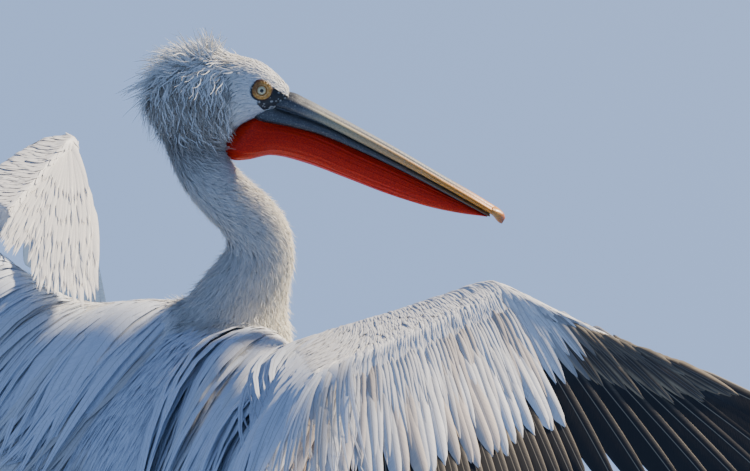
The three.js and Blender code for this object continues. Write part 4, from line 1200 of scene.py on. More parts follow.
def refined(lines, rows):  # a line of more points through the traced ones
    count, known = lines.shape[:2]
    place = np.linspace(0, known - 1, rows)
    low = np.clip(np.floor(place).astype(int), 0, known - 2)
    part = (place - low)[None, :, None]
    a, b = lines[:, low], lines[:, low + 1]
    before, after = lines[:, np.maximum(low - 1, 0)], lines[:, np.minimum(low + 2, known - 1)]
    return (a + 0.5 * part * (b - before + part * (2 * before - 5 * a + 4 * b - after
                                                   + part * (3 * (a - b) + after - before))))


def seatsOf(points, region):  # roots on an unwrap of the skin's own shape: round each part and along it
    local = toHead(points)
    if region == "head":
        turn = np.arctan2(local[:, 1], local[:, 2] - 0.39)
        along = (local[:, 0] + 0.18) / 0.27
    elif region == "neck":
        _, ahead, height = np.transpose(neckRows)
        ahead = np.interp(local[:, 2] * 1000, height, ahead) / 1000
        turn = np.arctan2(local[:, 1], local[:, 0] - ahead)
        along = (local[:, 2] + 0.13) / 0.52
    elif region == "wing":
        turn = np.arctan2(points[:, 2] - neckBase[2], np.abs(points[:, 0])) * 2
        along = np.abs(points[:, 0] - neckBase[0]) / 0.9
    else:
        away = points - neckBase
        turn = np.arctan2(away[:, 0], away @ np.cross(np.array([1, 0, 0]), trunkWay) + 0.06)
        along = (away @ trunkWay + 0.15) / 0.95
    return np.stack([0.02 + 0.96 * (turn / (2 * math.pi) + 0.5), np.clip(0.02 + 0.96 * along, 0.01, 0.99)], 1)


def growCoat(look, region):
    look = plainVane | look
    count = look["count"]
    seat = sample(look["where"], count)
    roots, normals = onSkin(body.points, *seat), unit(onSkin(skinNormals, *seat))
    ways = unit(onSkin(flow, *seat))
    ways = unit(ways + np.cross(normals, ways) * random.normal(0, look["stray"], (count, 1)))
    lengths = onSkin(length, *seat) * look["length"] * np.exp(random.normal(0, 0.12, count))
    halves = onSkin(half, *seat) * look["width"] * np.exp(random.normal(0, 0.1, count))
    lifts = onSkin(rise, *seat) * look["rise"] * random.uniform(0.55, 1.05, count)
    lines, above = trace(roots, ways, lengths, look["steps"])
    lines, above = refined(lines, look["rows"]), unit(refined(above, look["rows"]))
    along = np.linspace(0, 1, look["rows"])
    height = lifts[:, None] * (0.12 + 0.88 * along)
    if "curl" in look:  # the line swings from side to side as it falls
        sides = unit(np.cross(above, unit(np.gradient(lines, axis=1))))
        phase, waves = random.uniform(0, 6.3, (count, 1)), random.uniform(0.5, 1.1, (count, 1))
        swing = np.sin(phase + waves * 2 * math.pi * along) - np.sin(phase)
        lines = lines + sides * (swing * along * look["curl"] * lengths[:, None])[..., None]
    if "spring" in look:  # the tip stands off, more for some than for others
        spring = look["spring"] * lengths * random.random(count) ** 3
        height = height + spring[:, None] * along**2
    lines = lines + above * height[..., None]
    # painted shade: the feathers between the locks are darkened toward napeShade
    tints = mix(onSkin(tint, *seat), linear(coatLook["napeShade"]), onSkin(downAndGapShade, *seat) * look["downAndGapShade"])
    if "tint" in look:
        tints = blendedTint(tints, look["tint"])
    return layVanes(lines, above, halves, look, tints, seatsOf(roots, region))


faceKind = kindOf[body.faces[:, 0]]
centres = body.points[body.faces].mean(1)
localCentres = toHead(centres)
faceBare, faceRing = inFace(localCentres)
covered = (1 - faceBare) * (localCentres[:, 0] < 0.0755) * (faceRing > 0.0172)
isHead = (faceKind == "head") * covered
isNeck = (faceKind == "neck") * 1.0
crest = ease(0.0, -0.05, localCentres[:, 0])  # where the longer locks grow
cheek = isHead * crest * ease(0.30, 0.33, localCentres[:, 2])

isBack = ((faceKind == "trunk") + (faceKind == "upper")) * (1 - under[body.faces[:, 0]])
isBelly = (faceKind == "trunk") * under[body.faces[:, 0]] + (faceKind == "thigh")
behindFace = behind[body.faces[:, 0]]
sideFace = centres[:, 0]


def onTopOf(wing):
    return (faceKind == "wing") * (sideFace * wing.side > 0)


onTop = {wing.name: onTopOf(wing) for wing in wings}
# the curtain hangs over the raised web, so no small feathers grow there
faceNormals = unit(skinNormals[body.faces].mean(1))
fromWrist = centres - wings[0].joints[2]
bone = unit(wings[0].joints[1] - wings[0].joints[2])
offBone = np.linalg.norm(fromWrist - (fromWrist @ bone)[:, None] * bone, axis=1)
facingBack = faceNormals @ turnedBack(unit(np.cross(bone, wings[0].edgeRoot - wings[0].joints[2])))
onWeb = fleshOf[body.faces[:, 0]] == fleshNames.index("patagium_left")
onTop["left"] = onTop["left"] * (1 - onWeb * ease(0.034, 0.044, offBone) * (facingBack > 0.1))
locksOver = cheek * ease(0.46, 0.40, localCentres[:, 2])
crownLocks = isHead * ease(-0.01, -0.05, localCentres[:, 0]) * ease(0.40, 0.43, localCentres[:, 2])

lying = {"rows": 4, "columns": 4, "arch": 0.2, "rootShade": 0.85, "uneven": 0.04}  # close and broad
loose = {"columns": 3, "shape": (1.6, 0.8)}  # narrow locks and wisps
coats = {
    # smooth short feathers, finest round the eye and bill
    "headFeathers": ("head", lying | {
        "where": isHead, "count": 9000, "shape": (2.4, 0.8), "fray": 0.22, "uneven": 0.05, "rootShade": 0.82,
        "downAndGapShade": 0.95}),
    # soft locks that fall from the crown and nape, with painted shade on the down between them
    "headLocks": ("head", loose | {
        "where": cheek * ease(0.452, 0.425, localCentres[:, 2]), "count": 3500, "rows": 9, "length": 1.9,
        "width": 0.62, "curl": 0.20, "spring": 0.6, "stray": 0.36, "steps": 3, "rootShade": 0.22, "arch": 0.7,
        "tint": ("b3a999", 0.8), "uneven": 0.22, "rise": 1.3,
    }, loose | {
        "where": locksOver, "count": 560, "rows": 10, "shape": (1.5, 0.8), "length": 1.7, "curl": 0.16,
        "spring": 0.5, "stray": 0.35, "steps": 3, "rootShade": 0.7, "arch": 0.8, "tint": ("fdfbf4", 0.95),
        "uneven": 0.04, "rise": 2.1,
    }, loose | {
        "where": crownLocks, "count": 900, "rows": 8, "shape": (1.5, 0.8), "length": 1.6, "width": 0.95,
        "curl": 0.2, "spring": 1.0, "stray": 0.8, "rootShade": 0.85, "arch": 0.8,
        "tint": ("fffdf6", 1.0), "uneven": 0.02, "rise": 1.8}),
    "neckFeathers": ("neck", lying | {
        "where": isNeck, "count": 9600, "shape": (2.2, 0.8), "fray": 0.25, "arch": 0.25, "stray": 0.2,
        "rootShade": 0.6, "uneven": 0.06, "downAndGapShade": 0.75}),
    "neckWisps": ("neck", loose | {
        "where": isNeck, "count": 8600, "rows": 5, "length": 0.9, "width": 0.46, "curl": 0.14, "spring": 0.36,
        "stray": 0.3, "rootShade": 0.5, "uneven": 0.1, "rise": 1.2, "arch": 0.6}),
    # silky back feathers, long and narrow toward the tail, some with dark shafts
    "backFeathers": ("trunk", lying | {
        "where": isBack, "count": 5000, "rows": 5, "columns": 5, "shape": (2.2, 0.8), "fray": 0.14,
        "width": 1.25, "arch": 0.16}),
    "backPlumes": ("trunk", loose | {
        "where": isBack * ease(0.02, 0.12, behindFace), "count": 4300, "rows": 6, "shape": (1.6, 0.9),
        "length": 1.25, "width": 0.5, "arch": 0.35, "stray": 0.09, "rootShade": 0.75,
        "uneven": 0.08, "rise": 1.15, "spring": 0.03,
    }, loose | {
        "where": isBack * ease(0.10, 0.22, behindFace), "count": 420, "rows": 7, "shape": (1.5, 0.9),
        "length": 1.3, "width": 0.17, "arch": 0.4, "stray": 0.05, "rootShade": 0.9, "uneven": 0.2,
        "rise": 1.3, "tint": ("4a4846", 0.9)}),
    "bellyFeathers": ("trunk", lying | {
        "where": isBelly, "count": 3900, "shape": (2.6, 0.7), "fray": 0.15, "width": 1.5}),
    "smallCoverts_left": ("wing", lying | {
        "where": onTop["left"], "count": 3600, "rows": 5, "shape": (2.6, 0.75), "fray": 0.12, "arch": 0.22,
        "twist": 0.08, "stray": 0.07}),
    "smallCoverts_right": ("wing", lying | {
        "where": onTop["right"], "count": 4400, "rows": 5, "shape": (2.2, 0.85), "fray": 0.12, "arch": 0.25,
        "twist": 0.12, "stray": 0.08, "rootShade": 0.8, "uneven": 0.05}),
}
for name, (region, *looks) in coats.items():
    joinVanes(name, [growCoat(look, region) for look in looks], softFinish, "white_plumage")
print("coat grown")


# Crest: loose plumes off the crown and the back of the head, clear of the skin
# [root ahead, root height, tip ahead, tip height, side] in mm
crestPlumes = [
    [-50, 450, -38, 480, -4], [-60, 452, -62, 490, -6], [-66, 451, -84, 484, -8],
    [-78, 449, -112, 476, -10], [-88, 446, -136, 470, -14], [-100, 440, -152, 452, -6],
    [-108, 434, -160, 434, -18], [-118, 424, -172, 420, 8], [-124, 412, -198, 388, -4],
    [-126, 400, -190, 372, -16], [-130, 388, -182, 352, 6], [-120, 416, -168, 404, 20],
]
crestLook = {"count": 34, "columns": 3, "rows": 8, "shape": (1.5, 0.8), "arch": 0.8, "rootShade": 0.75,
             "uneven": 0.05, "tint": "fffdf6"}


def crestTuft(look, rootAhead, rootHeight, tipAhead, tipHeight, side):
    count = look["count"]
    spreadRoot, spreadTip = random.normal(0, 1, (2, count, 3)) * [[[7, 9, 4]], [[9, 12, 9]]]
    roots = np.array([rootAhead, side, rootHeight - 5]) + spreadRoot
    tips = np.array([tipAhead, side * 1.6, tipHeight]) + spreadTip + spreadRoot * 0.6
    tips = roots + (tips - roots) * random.uniform(0.5, 1.05, (count, 1))
    share = np.linspace(0, 1, look["rows"])
    lines = between(roots[:, None], tips[:, None], share[:, None])
    bend = random.normal(0.09, 0.07, count) * np.linalg.norm(tips - roots, axis=1)
    lines[..., 2] += bend[:, None] * np.sin(math.pi * share)
    lines[..., 1] += random.normal(0, 2.5, (count, 1)) * np.sin(math.pi * share * 1.5)
    lines = fromHead(lines[..., 0] / 1000, lines[..., 1] / 1000, lines[..., 2] / 1000)
    outward = np.broadcast_to(unit(-headLeft * 0.8 + upward * 0.6), lines.shape)
    tints = np.array(linear(look["tint"])) * random.uniform(0.85, 1.0, (count, 1))
    halves = random.uniform(0.0008, 0.0017, count)
    return layVanes(lines, outward, halves, look, tints, seatsOf(lines[:, 0], "head"))


joinVanes("crest", [crestTuft(crestLook, *plume) for plume in crestPlumes], softFinish, "white_plumage")

# Lids: a ring of bare wrinkled skin round each eye, thick at its rim
lidLook = {
    # [distance from the eye's axis, height over its middle] in mm
    "rows": [[7.2, 5.6], [7.5, 7.2], [8.0, 8.4], [8.8, 9.0], [9.8, 8.8], [11.2, 8.2], [13.2, 7.9],
             [15.4, 7.3], [17.0, 6.2], [18.6, 4.2]],
    "lean": (0.20, 0.10),  # how far the axis turns ahead and up
    "creases": ((9, 0.22, 0.5), (17, 0.16, -0.8), (31, 0.10, 1.2)),  # [how many, how deep, how slanted]
    # sheen: a painted highlight, a thin pale ring along the lid's rim
    "rim": "7a4513", "gold": "cf8826", "pale": "e9b25a", "sheen": "fff0c8", "outline": "3a2010",
    # brown: painted shade of the brow
    "brown": "6a3c14",
}


def makeLids(side):
    turn = circle(120)
    centre, axis, around = eyeAxes(side, lidLook["lean"], turn)
    radius = np.linspace(lidLook["rows"][0][0], lidLook["rows"][-1][0], 40)
    height = throughRows(lidLook["rows"], radius)[:, 1:]
    radius = radius[:, None]
    creases = sum(size * np.sin(count * turn + random.uniform(0, 6) + wander * radius)
                  for count, size, wander in lidLook["creases"])
    rings = 0.16 * np.sin(radius * 3.6 + 0.6 * np.sin(3 * turn))
    brow = 1 + 0.07 * np.sin(turn) * ease(8, 12, radius)
    height = height * brow + (creases + rings) * (ease(9, 11, radius) * ease(18.5, 16.5, radius))
    wide = radius * (1 + 0.05 * np.cos(2 * turn + 0.6) * ease(9, 16, radius))
    offset = around * wide[..., None]
    points = centre + (offset + axis * height[..., None]) / 1000
    shaded = ease(0.1, 1.0, unit(offset) @ unit(upward * 0.6 - headAhead))  # painted shade of the brow: browner above and behind
    tint = blendedTint(linear(lidLook["gold"]), (lidLook["pale"], np.clip(0.4 + creases * 1.4, 0, 1)),
                       (lidLook["rim"], ease(9.4, 8.0, radius) * 0.65),
                       # painted highlight: a thin pale ring along the rim
                       (lidLook["sheen"], np.exp(-((radius - 10.4) / 0.5) ** 2) * 0.25),
                       (lidLook["outline"], ease(14.8, 16.6, radius)), (lidLook["brown"], shaded * 0.75))
    lids = meshFrom("lidsLeft" if side > 0 else "lidsRight", points, gridQuads(*height.shape, True), tint)
    return dress(lids, lidFinish, "eye")


def skinMaterial(name, roughness, cell):
    # bare living skin, dry and slightly oily: finely pitted, with a soft low gloss
    material, tree, shader, tint = tintedMaterial(name)
    where = addNode(tree, "ShaderNodeTexCoord").outputs["Object"]
    pits = addNode(tree, "ShaderNodeTexVoronoi", {"Vector": where, "Scale": 1 / cell})
    speck = addNode(tree, "ShaderNodeMapRange", {0: pits, 1: 0.0, 2: 0.6, 3: 0.72, 4: 1.0})
    pitted = addNode(tree, "ShaderNodeMix", {0: 1.0, 6: tint, 7: speck}, multiplying).outputs[2]
    bump = addNode(tree, "ShaderNodeBump", {"Strength": 0.5, "Distance": 0.0005, "Height": pits})
    setSockets(tree, shader, {"Base Color": pitted, "Roughness": roughness, "Normal": bump})
    return material


lidFinish = skinMaterial("creased_lid_skin", 0.42, 0.001 / 1.4)
for side in (1, -1):
    makeLids(side)
print("crest and lids made")


# Scapulars: long feathers that fall from the shoulder and upper arm over the base of the wing
draped = {"columns": 3, "rows": 8, "arch": 0.12, "rootShade": 0.98, "elbow": 1.0}
drapeLooks = [draped | look for look in (
    {"count": 480, "reach": (0.15, 0.33), "height": 0.0075, "half": 0.0125, "columns": 4, "shape": (2.6, 0.8),
     "fray": 0.05, "rootShade": 1.0, "uneven": 0.015, "stray": 0.03, "elbow": 0.25},
    {"count": 560, "reach": (0.08, 0.31), "height": 0.0105, "half": 0.0054, "shape": (1.9, 0.8), "fray": 0.06,
     "uneven": 0.02, "stray": 0.022},
    {"count": 330, "reach": (0.03, 0.27), "height": 0.0125, "half": 0.0027, "shape": (1.7, 0.8), "arch": 0.2,
     "uneven": 0.03, "stray": 0.028},
    # a few bare dark shafts
    {"count": 24, "reach": (0.17, 0.33), "height": 0.018, "half": 0.0008, "shape": (1.8, 0.8), "arch": 0.4,
     "rootShade": 0.9, "uneven": 0.1, "stray": 0.03, "elbow": 0, "tint": "8b8783"},
)]
faceNode = fleshOf[body.faces[:, 0]]
placeFace, reachFace = wingPlace[body.faces[:, 0]], wingReach[body.faces[:, 0]]


def drape(wing, look):
    onArm = faceNode == fleshNames.index(f"upper_arm_{wing.name}")
    beside = (faceKind == "trunk") * ease(0.03, 0.08, sideFace * wing.side) * (behindFace < 0.20)
    facing = ease(0.15, 0.5, faceNormals @ wing.normal(np.full(1, 0.5))[0])
    overElbow = onTopOf(wing) * ease(1.28, 1.12, placeFace) * (reachFace < 0.05)
    overElbow = overElbow * look["elbow"] * (wing.side < 0)  # on the lowered right wing only
    count = look["count"]
    seat = sample((onArm + 0.9 * beside + overElbow) * facing, count)
    roots, normals = onSkin(body.points, *seat), unit(onSkin(skinNormals, *seat))
    places = onSkin(wingPlace, *seat)
    places = np.where(places < 0.0, random.uniform(-0.16, 0.20, count), np.clip(places, 0.0, 1.3))
    reach = random.uniform(*look["reach"], count)
    reach = np.where(places > 0.95, reach * 0.72, reach)
    over = wing.normal(np.maximum(places, 0.02))
    ends = wing.surface(places + random.normal(0, look["stray"], count), reach)
    height = look["height"] * random.uniform(0.85, 1.05, count) - arm["droop"] * reach**2
    ends = ends + over * height[:, None]
    ways = unit(onSkin(flow, *seat))
    size = np.linalg.norm(ends - roots, axis=1)[:, None]
    middle = roots + ways * size * 0.45 + normals * 0.002
    t = np.linspace(0, 1, look["rows"])[None, :, None]
    lines = (1 - t)**2 * roots[:, None] + 2 * t * (1 - t) * middle[:, None] + t**2 * ends[:, None]
    above = unit(between(normals[:, None], over[:, None], t))
    lines = lines + above * 0.002 * np.sin(math.pi * t)
    stains = ease(0.5, 0.8, cloud(lines[:, look["rows"] // 2], 0.04, 31)) * 0.5
    # the back's bluish white is painted sky shade
    tints = blendedTint(linear(coatLook["back"]), (coatLook["backStain"], stains))
    if "tint" in look:
        tints = linear(look["tint"])
    halves = look["half"] * np.exp(random.normal(0, 0.12, count))
    return layVanes(lines, above, halves, look, tints, seatsOf(roots, "trunk"))


for wing in wings:
    batches = [drape(wing, look) for look in drapeLooks]
    joinVanes(f"scapulars_{wing.name}", batches, covertFinish, "white_plumage")

# Curtain: soft under-wing feathers that fan out from the raised left wrist down to the shoulder
curtainLook = {
    "half": 0.0096, "columns": 5, "rows": 9, "shape": (3.0, 0.8), "arch": 0.14, "fray": 0.16,
    "rootShade": 1.0, "uneven": 0.012, "tint": "fffaf0", "stray": 0.03, "count": 46, "bulge": 0.016,
    # [share of the fan from the forearm to the shoulder, where its tips end]
    "tips": [[0, 0.90], [0.2, 0.97], [0.34, 1.0], [0.38, 0.90], [0.45, 1.00], [0.55, 1.14], [0.65, 1.20],
             [0.8, 1.18], [0.92, 1.13], [1, 1.02]],
    # [where the row ends, how long it is]
    "layers": [[1.0, 0.50], [0.93, 0.45], [0.84, 0.45], [0.72, 0.42], [0.58, 0.40], [0.44, 0.36]],
}


def hangCurtain(wing, look):
    elbow, wrist, shoulder = wing.joints[1], wing.joints[2], wing.edgeRoot
    out = turnedBack(unit(np.cross(elbow - wrist, shoulder - wrist)))
    nearby = body.points[fleshOf == fleshNames.index(f"patagium_{wing.name}")]
    surface = np.quantile((nearby - wrist) @ out, 0.75)
    batches = []
    for layer, (ending, size) in enumerate(look["layers"]):
        count = look["count"] - 3 * layer
        share = np.clip(np.linspace(0.15, 0.99, count) + random.normal(0, 0.012, count), 0, 1)
        ways = elbow + (shoulder - elbow) * share[:, None] - wrist  # toward the line from elbow to shoulder
        tips = throughRows(look["tips"], share)[:, 1] * ending + random.normal(0, 0.022, count)
        roots = np.maximum(tips - size * random.uniform(0.9, 1.1, count), random.uniform(0.06, 0.10, count))
        t, along = np.linspace(0, 1, look["rows"]), alongLine(roots, tips, look["rows"])
        lines = wrist + ways[:, None] * along[..., None]
        across = unit(np.cross(out, ways))
        across = across * np.sign(across @ (shoulder - elbow))[:, None]
        drift = random.normal(0, look["stray"], (count, 1)) * t**1.5 * (tips - roots)[:, None] * 0.2
        bow = np.sin(math.pi * np.clip(along / 0.95, 0, 1))
        edge = ease(0.6, 1.0, share)[:, None] * bow * look["bulge"]
        lines = lines + across[:, None] * (drift + edge)[..., None]
        height = surface + 0.003 + 0.0013 * layer + 0.002 * t[None] - 0.004 * ease(0.85, 1.1, along)
        lines = lines + out * height[..., None]
        halves = look["half"] * (1 - 0.08 * layer) * np.exp(random.normal(0, 0.12, count))
        seats = wingSeats(1 + share / 2, tips * 0.2, -1)
        normals = np.broadcast_to(out, lines.shape)
        batches.append(layVanes(lines, normals, halves, look, linear(look["tint"]), seats))
    return batches


joinVanes("curtain_left", hangCurtain(wings[0], curtainLook), softFinish, "white_plumage")
print("scapulars and curtain made")


# Tail: stiff feathers in a fan, the middle ones on top, with soft coverts above and below their bases
tailLook = {
    "root": (0, 0.413, -0.324), "lean": 12, "spread": 25, "length": 0.262, "side": 0.030,
    "half": 0.0145, "columns": 9, "rows": 14, "shape": (5, 0.6), "arch": 0.12, "outer": 0.8, "inner": 1.1,
    "fray": 0.03, "rootShade": 0.95, "uneven": 0.02, "tip": 0.03, "tint": "d6d3cd", "underTint": "b9b6b0",
    "count": 22,
}
# above the fan (1) or below it (-1): where they root and end, and their height over it there
tailCovert = {"count": 90, "columns": 5, "shape": (2.4, 0.8), "rootShade": 0.9, "uneven": 0.04}
tailCoverts = [tailCovert | look for look in (
    {"above": 1, "reach": (-0.03, 0.125), "height": (0.017, 0.007), "half": 0.0080, "rows": 9, "arch": 0.15,
     "fray": 0.12},
    {"above": 1, "reach": (-0.05, 0.070), "height": (0.020, 0.013), "half": 0.0070, "rows": 8, "arch": 0.2,
     "fray": 0.15},
    {"above": -1, "reach": (-0.03, 0.135), "height": (0.017, 0.006), "half": 0.0085, "rows": 9, "arch": 0.15,
     "fray": 0.15},
)]


def tailLines(share, starts, ends, heights, rows):
    lean = math.radians(tailLook["lean"])
    back, up = np.array([0, math.cos(lean), -math.sin(lean)]), np.array([0, math.sin(lean), math.cos(lean)])
    turn = np.radians(tailLook["spread"] * share)[:, None]
    reach = alongLine(starts, ends, rows)
    aside = share[:, None] * tailLook["side"] + reach * np.sin(turn)
    drop = 0.010 * share[:, None] ** 2 + reach * share[:, None] ** 2 / 9
    height = alongLine(*heights, rows) - drop
    lines = neckBase + np.array(tailLook["root"]) + back * (reach * np.cos(turn))[..., None]
    lines = lines + np.array([1, 0, 0]) * aside[..., None] + up * height[..., None]
    return lines, np.broadcast_to(up, lines.shape)


def makeTail():
    look = tailLook
    share = np.linspace(-1, 1, look["count"])
    over = 0.0045 * (1 - np.abs(share))
    lines, above = tailLines(share, np.full(len(share), 0.02), look["length"] * (1 - 0.1 * share**2),
                             (over + 0.001, over * 0.4), look["rows"])
    batches = []
    for side in (-1, 1):
        own = share * side > 0
        seats, halves = seatsOf(lines[own][:, 0], "trunk"), np.full(own.sum(), look["half"])
        batch = layVanes(lines[own], above[own], halves, look, linear(look["tint"]), seats, side)
        batch["underSeat"] = np.array([0.002, 0.002])
        batches.append(thicken(batch, 0.0006, linear(look["underTint"]), 0.6))
    joinVanes("tailFeathers", batches, flightFinish, "grey_plumage", "tail")
    batches = []
    for look in tailCoverts:
        count = look["count"]
        share = random.uniform(-1, 1, count)
        starts = look["reach"][0] + random.normal(0, 0.012, count)
        ends = starts + (look["reach"][1] - look["reach"][0]) * random.uniform(0.8, 1.05, count)
        heights = [look["above"] * h * (1 - 0.3 * share**2) for h in look["height"]]
        lines, above = tailLines(share, starts, ends, heights, look["rows"])
        halves = look["half"] * np.exp(random.normal(0, 0.1, count))
        # the back's bluish white is painted sky shade
        batches.append(layVanes(lines, above * look["above"], halves, look, linear(coatLook["back"]),
                                seatsOf(lines[:, 0], "trunk")))
    joinVanes("tailCoverts", batches, softFinish, "white_plumage")


makeTail()

# Legs: bare scaled skin; four toes joined by one web, each with a claw
leg = {
    "ankle": (0.088, 0.244, -0.418), "heel": (0.090, 0.190), "heelTop": 0.0165, "heelRadius": 0.0155,
    # [share of the way down, half depth, half width]
    "shank": [[-0.05, 0.015, 0.012], [0.06, 0.0155, 0.0125], [0.16, 0.012, 0.0098], [0.5, 0.0108, 0.0080],
              [0.82, 0.0112, 0.0082], [1.0, 0.0125, 0.0105]],
    "toes": [[-20, 0.118], [0, 0.128], [24, 0.104], [96, 0.058]],  # turn toward the body, length
    "plates": 15, "turnOut": 9, "web": 0.0030, "toeHeight": 0.0085, "toeHalf": 0.0085, "knuckles": 4,
    "scute": 0.004,  # length of each scale along a toe
    "skinColour": "565a5e", "webColour": "7a746d", "creaseColour": "2c2e31", "clawColour": "2a2623",
}


def heelOf(wing, height):
    return np.array([neckBase[0] + leg["heel"][0] * wing.side, neckBase[1] + leg["heel"][1], height])


def makeShank(wing):
    ankle = neckBase + np.array(leg["ankle"]) * [wing.side, 1, 1]
    heel = heelOf(wing, leg["heelTop"])
    way = unit(heel - ankle)
    side = unit(np.array([1, 0, 0]) - way[0] * way)
    front = np.cross(side, way)
    share, turn = np.linspace(-0.05, 1, 60)[:, None], circle(32)
    _, deep, wide = throughRows(leg["shank"], share.ravel()).T[..., None]
    # overlapping plates down the front
    onPlate = share * leg["plates"] % 1
    plates = 0.0005 * onPlate * ease(0.2, 0.9, np.cos(turn))
    points = (ankle + (heel - ankle) * share)[:, None]
    points = points + front * ((deep + plates) * np.cos(turn))[..., None] * -1
    points = points + side * ((wide + plates) * np.sin(turn))[..., None]
    colour = blendedTint(linear(leg["skinColour"]), (leg["creaseColour"], ease(0.25, 0.0, onPlate) * 0.6))
    return points, gridQuads(len(share), len(turn), True), colour


def toeOutline(turn):  # how far the web reaches between the toes
    toes = np.array(leg["toes"])
    length = np.interp(turn, toes[:, 0], toes[:, 1])
    k = np.clip(np.searchsorted(toes[:, 0], turn) - 1, 0, len(toes) - 2)
    share = np.clip((turn - toes[k, 0]) / (toes[k + 1, 0] - toes[k, 0]), 0, 1)
    hollow = np.where(k == len(toes) - 2, 0.28, 0.15)
    outer = ease(5, 0, np.maximum(toes[0, 0] - turn, turn - toes[-1, 0]))
    return length * (1 - hollow * np.sin(math.pi * share) ** 0.8) * (0.86 + 0.14 * outer)


def makeFoot(wing):
    toes = np.array(leg["toes"])
    fine = np.concatenate([np.linspace(t - 6, t + 6, 25) for t in toes[:, 0]])
    turn = np.unique(np.concatenate([fine, np.linspace(toes[0, 0] - 6, toes[-1, 0] + 6, 60)]))
    share = np.linspace(0, 1, 32)
    reach = toeOutline(turn)[:, None] * share
    nothing = np.zeros(reach.shape)
    uneven = cloud(np.stack([reach, turn[:, None] * 0.001 + nothing, nothing], -1), 0.004, 41)
    top = leg["web"] * 0.75 + 0.0006 * uneven
    ridge = nothing
    for bearing, length in toes:
        off = reach * np.sin(np.radians(turn - bearing))[:, None]
        ahead = np.clip(reach / length, 0, 1)
        bend = np.abs(np.sin(math.pi * ahead * leg["knuckles"])) ** 0.5
        half = leg["toeHalf"] * (1 - 0.45 * ahead) * (0.9 + 0.1 * bend)
        section = np.sqrt(np.clip(1 - (off / half) ** 2, 0, 1)) * (np.abs(turn - bearing) < 60)[:, None]
        ridge = np.maximum(ridge, section * (0.86 + 0.14 * bend) * (1 - 0.45 * ahead))
    scutes = 0.0003 * ((reach / leg["scute"]) % 1) * ease(0.3, 0.8, ridge)
    top = top + leg["toeHeight"] * ridge * ease(1.0, 0.97, share) + scutes
    dome = leg["heelTop"] * np.sqrt(np.clip(1 - (reach / (leg["heelRadius"] * 1.25)) ** 2, 0, 1))
    top = np.maximum(top, dome)
    angle = np.radians(turn - leg["turnOut"])[:, None]
    heel = heelOf(wing, 0)
    flat = np.stack([-wing.side * np.sin(angle) * reach, -np.cos(angle) * reach, nothing], -1)
    upper = heel + flat + upward * top[..., None]
    lower = heel + flat + upward * (0.0002 + 0.0012 * ease(1, 0.9, share))[None, :, None] * 0.2
    groove = ease(0.25, 0.0, (reach / leg["scute"]) % 1) * ease(0.3, 0.8, ridge) * 0.6
    scaly = ease(0.05, 0.4, ridge + (dome > leg["web"]))
    colour = blendedTint(linear(leg["webColour"]), (leg["skinColour"], scaly.ravel()),
                         (leg["creaseColour"], groove.ravel()))
    rows, columns = reach.shape
    quads = gridQuads(rows, columns)
    points = np.concatenate([upper.reshape(-1, 3), lower.reshape(-1, 3)])
    below = quads[:, ::-1] + rows * columns
    index = np.arange(rows * columns).reshape(rows, columns)
    rim = np.concatenate([index[:, -1], index[-1, ::-1], index[::-1, 0], index[0]])
    rim = rim[np.insert(np.diff(rim) != 0, 0, True)]
    nextRim = np.roll(rim, -1)
    sides = np.stack([rim, rim + rows * columns, nextRim + rows * columns, nextRim], 1)
    return points, np.concatenate([quads, below, sides]), np.concatenate([colour, colour])


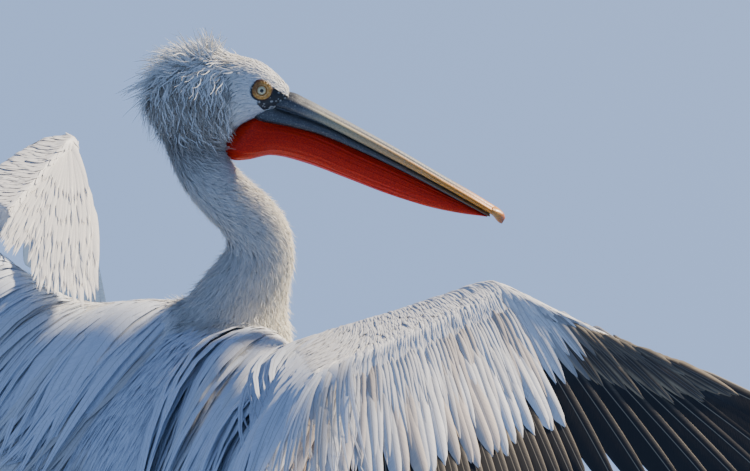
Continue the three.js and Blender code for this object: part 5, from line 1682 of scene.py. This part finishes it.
def makeClaws(wing):
    heel = heelOf(wing, 0)
    points, quads = [], []
    for bearing, length in leg["toes"]:
        angle = math.radians(bearing - leg["turnOut"])
        way = np.array([-wing.side * math.sin(angle), -math.cos(angle), 0])
        side = np.cross(way, upward)
        share, turn = np.linspace(0, 1, 12), circle(12)
        middle = heel + way * (length * 0.93 + 0.014 * np.sin(share * 1.3))[:, None]
        middle = middle + upward * (0.0050 - 0.0042 * share**2)[:, None]
        size = 0.0030 * (1 - share**1.6) + 0.0003
        ring = side * np.cos(turn)[:, None] + upward * np.sin(turn)[:, None] * 1.1
        quads.append(gridQuads(len(share), len(turn), True) + sum(len(p) for p in points))
        points.append((middle[:, None] + ring[None] * size[:, None, None]).reshape(-1, 3))
    return np.concatenate(points), np.concatenate(quads), linear(leg["clawColour"])


def scaleMaterial(name, cell, relief, roughness):
    # horny scales grown on the legs, and the worn horn of the claws: small raised cells with dark joints
    material, tree, shader, tint = tintedMaterial(name)
    where = addNode(tree, "ShaderNodeTexCoord").outputs["Object"]
    cells = addNode(tree, "ShaderNodeTexVoronoi", {"Vector": where, "Scale": 1 / cell},
                    {"feature": "DISTANCE_TO_EDGE"}).outputs["Distance"]
    edge = addNode(tree, "ShaderNodeMapRange", {0: cells, 1: 0.0, 2: 0.18, 3: 0.55, 4: 1.0})
    toned = addNode(tree, "ShaderNodeMix", {0: 1.0, 6: tint, 7: edge}, multiplying).outputs[2]
    bump = addNode(tree, "ShaderNodeBump", {"Strength": 0.6, "Distance": relief, "Height": edge})
    setSockets(tree, shader, {"Base Color": toned, "Roughness": roughness, "Normal": bump})
    return material


legFinish = scaleMaterial("scaly_leg_skin", 0.0028, 0.0006, 0.5)
clawFinish = scaleMaterial("worn_dark_claw", 0.0009, 0.0001, 0.34)
for wing in wings:
    dress(meshFrom(f"shank_{wing.name}", *makeShank(wing)), legFinish, "leg_skin", f"tarsus_{wing.name}")
    dress(meshFrom(f"webbedFoot_{wing.name}", *makeFoot(wing)), legFinish, "leg_skin", f"foot_{wing.name}")
    dress(meshFrom(f"claws_{wing.name}", *makeClaws(wing)), clawFinish, "leg_skin")
print("tail and legs made")

# The skin's colours: the coat's with painted shade under the feathers and between the locks, and bare black
# lores flecked with grey
flecks = ease(0.62, 0.72, cloud(body.points, 0.0035, 9)) * 0.75
bareTint = blendedTint(linear(skinLook["loreColour"]), (skinLook["fleckColour"], flecks))
skinTint = blendedTint(tint * skinLook["shadeUnderCoat"], (coatLook["napeShade"], downAndGapShade * 0.8), (bareTint, bare))
paint(skin.data, skinTint)
skin.data.polygons.foreach_set("use_smooth", np.ones(len(skin.data.polygons), bool))
dress(skin, skinMaterial("bare_pitted_skin", 0.5, 0.001 / 0.7), "white_plumage", *fleshKinds)
